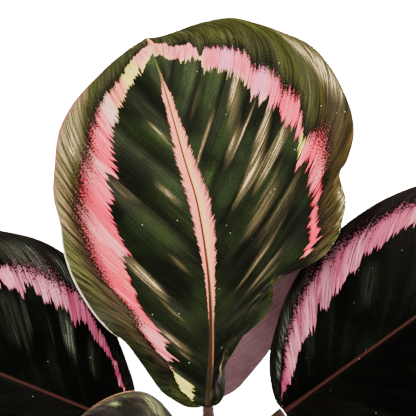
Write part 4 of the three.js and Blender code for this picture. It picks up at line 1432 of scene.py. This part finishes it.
def cutDrains(piece):
    sides = 32
    bottom, top = ringNumbers(sides, 2)
    faces = [*wallFaces([bottom, top]), bottom[::-1], top]
    for index in range(pot["drainCount"]):
        turn = fullTurn * index / pot["drainCount"]
        x, y = pot["drainCircle"] * math.cos(turn), pot["drainCircle"] * math.sin(turn)
        points = [*circle(pot["drainRadius"], -2, sides, x, y),
                  *circle(pot["drainRadius"], pot["floor"] + 3, sides, x, y)]
        plug = linked("drain", meshOf("drain", points, faces, smooth=False))
        cut = piece.modifiers.new("drain", "BOOLEAN")
        cut.object = plug
        cut.solver = "EXACT"
        bpy.context.view_layer.objects.active = piece
        bpy.ops.object.modifier_apply(modifier=cut.name)
        bpy.data.objects.remove(plug)
    faces = piece.data.polygons
    faces.foreach_set("use_smooth", np.ones(len(faces), bool))


def clayFinish():
    finish = Finish("clay")
    place = finish.place()
    height = finish.parts(place)[2] / metre
    grain = finish.noise(place, 900, 3, 0.65)
    cloud = finish.noise(place, 28, 4, 0.6)
    turnedLines = finish.noise(finish.at(0.0, 0.0, height), 0.9, 3, 0.6)
    colour = finish.mix(finish.rise(cloud, 0.35, 0.7), (0.25, 0.067, 0.026), (0.33, 0.115, 0.052))
    colour = finish.mix(finish.rise(grain, 0.55, 0.75) * 0.35, colour, (0.15, 0.038, 0.015))
    # pale bloom, low on the pot and round its rim
    bloom = finish.rise(cloud + (grain - 0.5) * 0.4, 0.5, 0.75) * finish.rise(height, 60, 0) * 0.5
    bloom = finish.clip(bloom + finish.rise(cloud, 0.5, 0.7) * finish.rise(height, 92, 120) * 0.35)
    colour = finish.mix(bloom, colour, (0.42, 0.34, 0.27))
    finish.shade(baseColor=colour, roughness=0.86 + (grain - 0.5) * 0.2)
    finish.bump(grain * 0.4 + turnedLines * 0.7 + cloud * 0.3, 0.5)
    return finish.material


cutDrains(addPiece("clay_pot", makePot(), "pot", "clay", clayFinish()))
print("pot made")


# The floor and the lamps, in metres.
stage = {
    "floor": (0.93, 0.93, 0.93), "reach": 12, "wall": 3.5, "curve": 1.5, "sky": 0.08,
    "middle": (0, 0.03, 0.33),
    # soft boxes round the camera's axis: degrees off it, degrees anticlockwise from the right,
    # distance, size, watts, colour and spread in degrees
    "boxes": {
        "right": (58, 12, 3.0, 1.6, 115, (1.0, 0.97, 0.93), 180),
        "left": (58, 168, 3.0, 1.6, 115, (1.0, 0.97, 0.93), 180),
        "top": (62, 90, 3.0, 1.6, 54, (1.0, 0.97, 0.93), 180),
        "shineRight": (26, 40, 3.0, 0.4, 30, (1.0, 0.92, 0.76), 180),
        "shineLeft": (34, 150, 3.0, 0.5, 16, (1.0, 0.92, 0.76), 180),
    },
    # the floor behind: place, aim, size, watts, colour, spread in degrees
    "wash": ((0, 1.3, 4.0), (0, 1.2, 0), 0.6, 430, (1, 1, 1), 28),
}


def makeStage():
    reach, wall, curve = stage["reach"], stage["wall"], stage["curve"]
    profile = [(-reach / 2, 0), (wall - curve, 0)]
    profile += [(wall - curve + curve * math.sin(a), curve - curve * math.cos(a))
                for a in np.linspace(0.1, math.pi / 2, 12)]
    profile.append((wall, reach))
    points = np.array([(x, y, z) for y, z in profile for x in (-reach, reach)])
    faces = [[2 * i, 2 * i + 1, 2 * i + 3, 2 * i + 2] for i in range(len(profile) - 1)]
    floor = linked("floor", meshOf("floor", points / metre, faces))
    finish = Finish("floor")
    finish.shade(baseColor=stage["floor"], roughness=0.9)
    floor.data.materials.append(finish.material)


def lightScene():
    world = bpy.data.worlds.new("sky")
    world.use_nodes = True
    colour, strength = world.node_tree.nodes["Background"].inputs[:2]
    colour.default_value = (1, 1, 1, 1)
    strength.default_value = stage["sky"]
    bpy.context.scene.world = world
    middle = Vector(stage["middle"])
    facing = bpy.context.scene.camera.rotation_euler.to_matrix()
    for name, (off, turn, distance, *rest) in stage["boxes"].items():
        off, turn = math.radians(off), math.radians(turn)
        away = Vector((math.sin(off) * math.cos(turn), math.sin(off) * math.sin(turn), math.cos(off)))
        addLamp(name, middle + facing @ away * distance, middle, *rest)
    place, target, *rest = stage["wash"]
    addLamp("wash", Vector(place), Vector(target), *rest)


def addLamp(name, place, target, size, watts, colour, spread):
    lamp = linked(name, bpy.data.lights.new(name, "AREA"))
    lamp.data.size = size
    lamp.data.energy = watts
    lamp.data.color = colour
    lamp.data.spread = math.radians(spread)
    lamp.location = place
    lamp.rotation_euler = (place - target).to_track_quat("Z", "Y").to_euler()
    lamp.visible_camera = False


makeStage()
lightScene()
print("floor and lights placed")
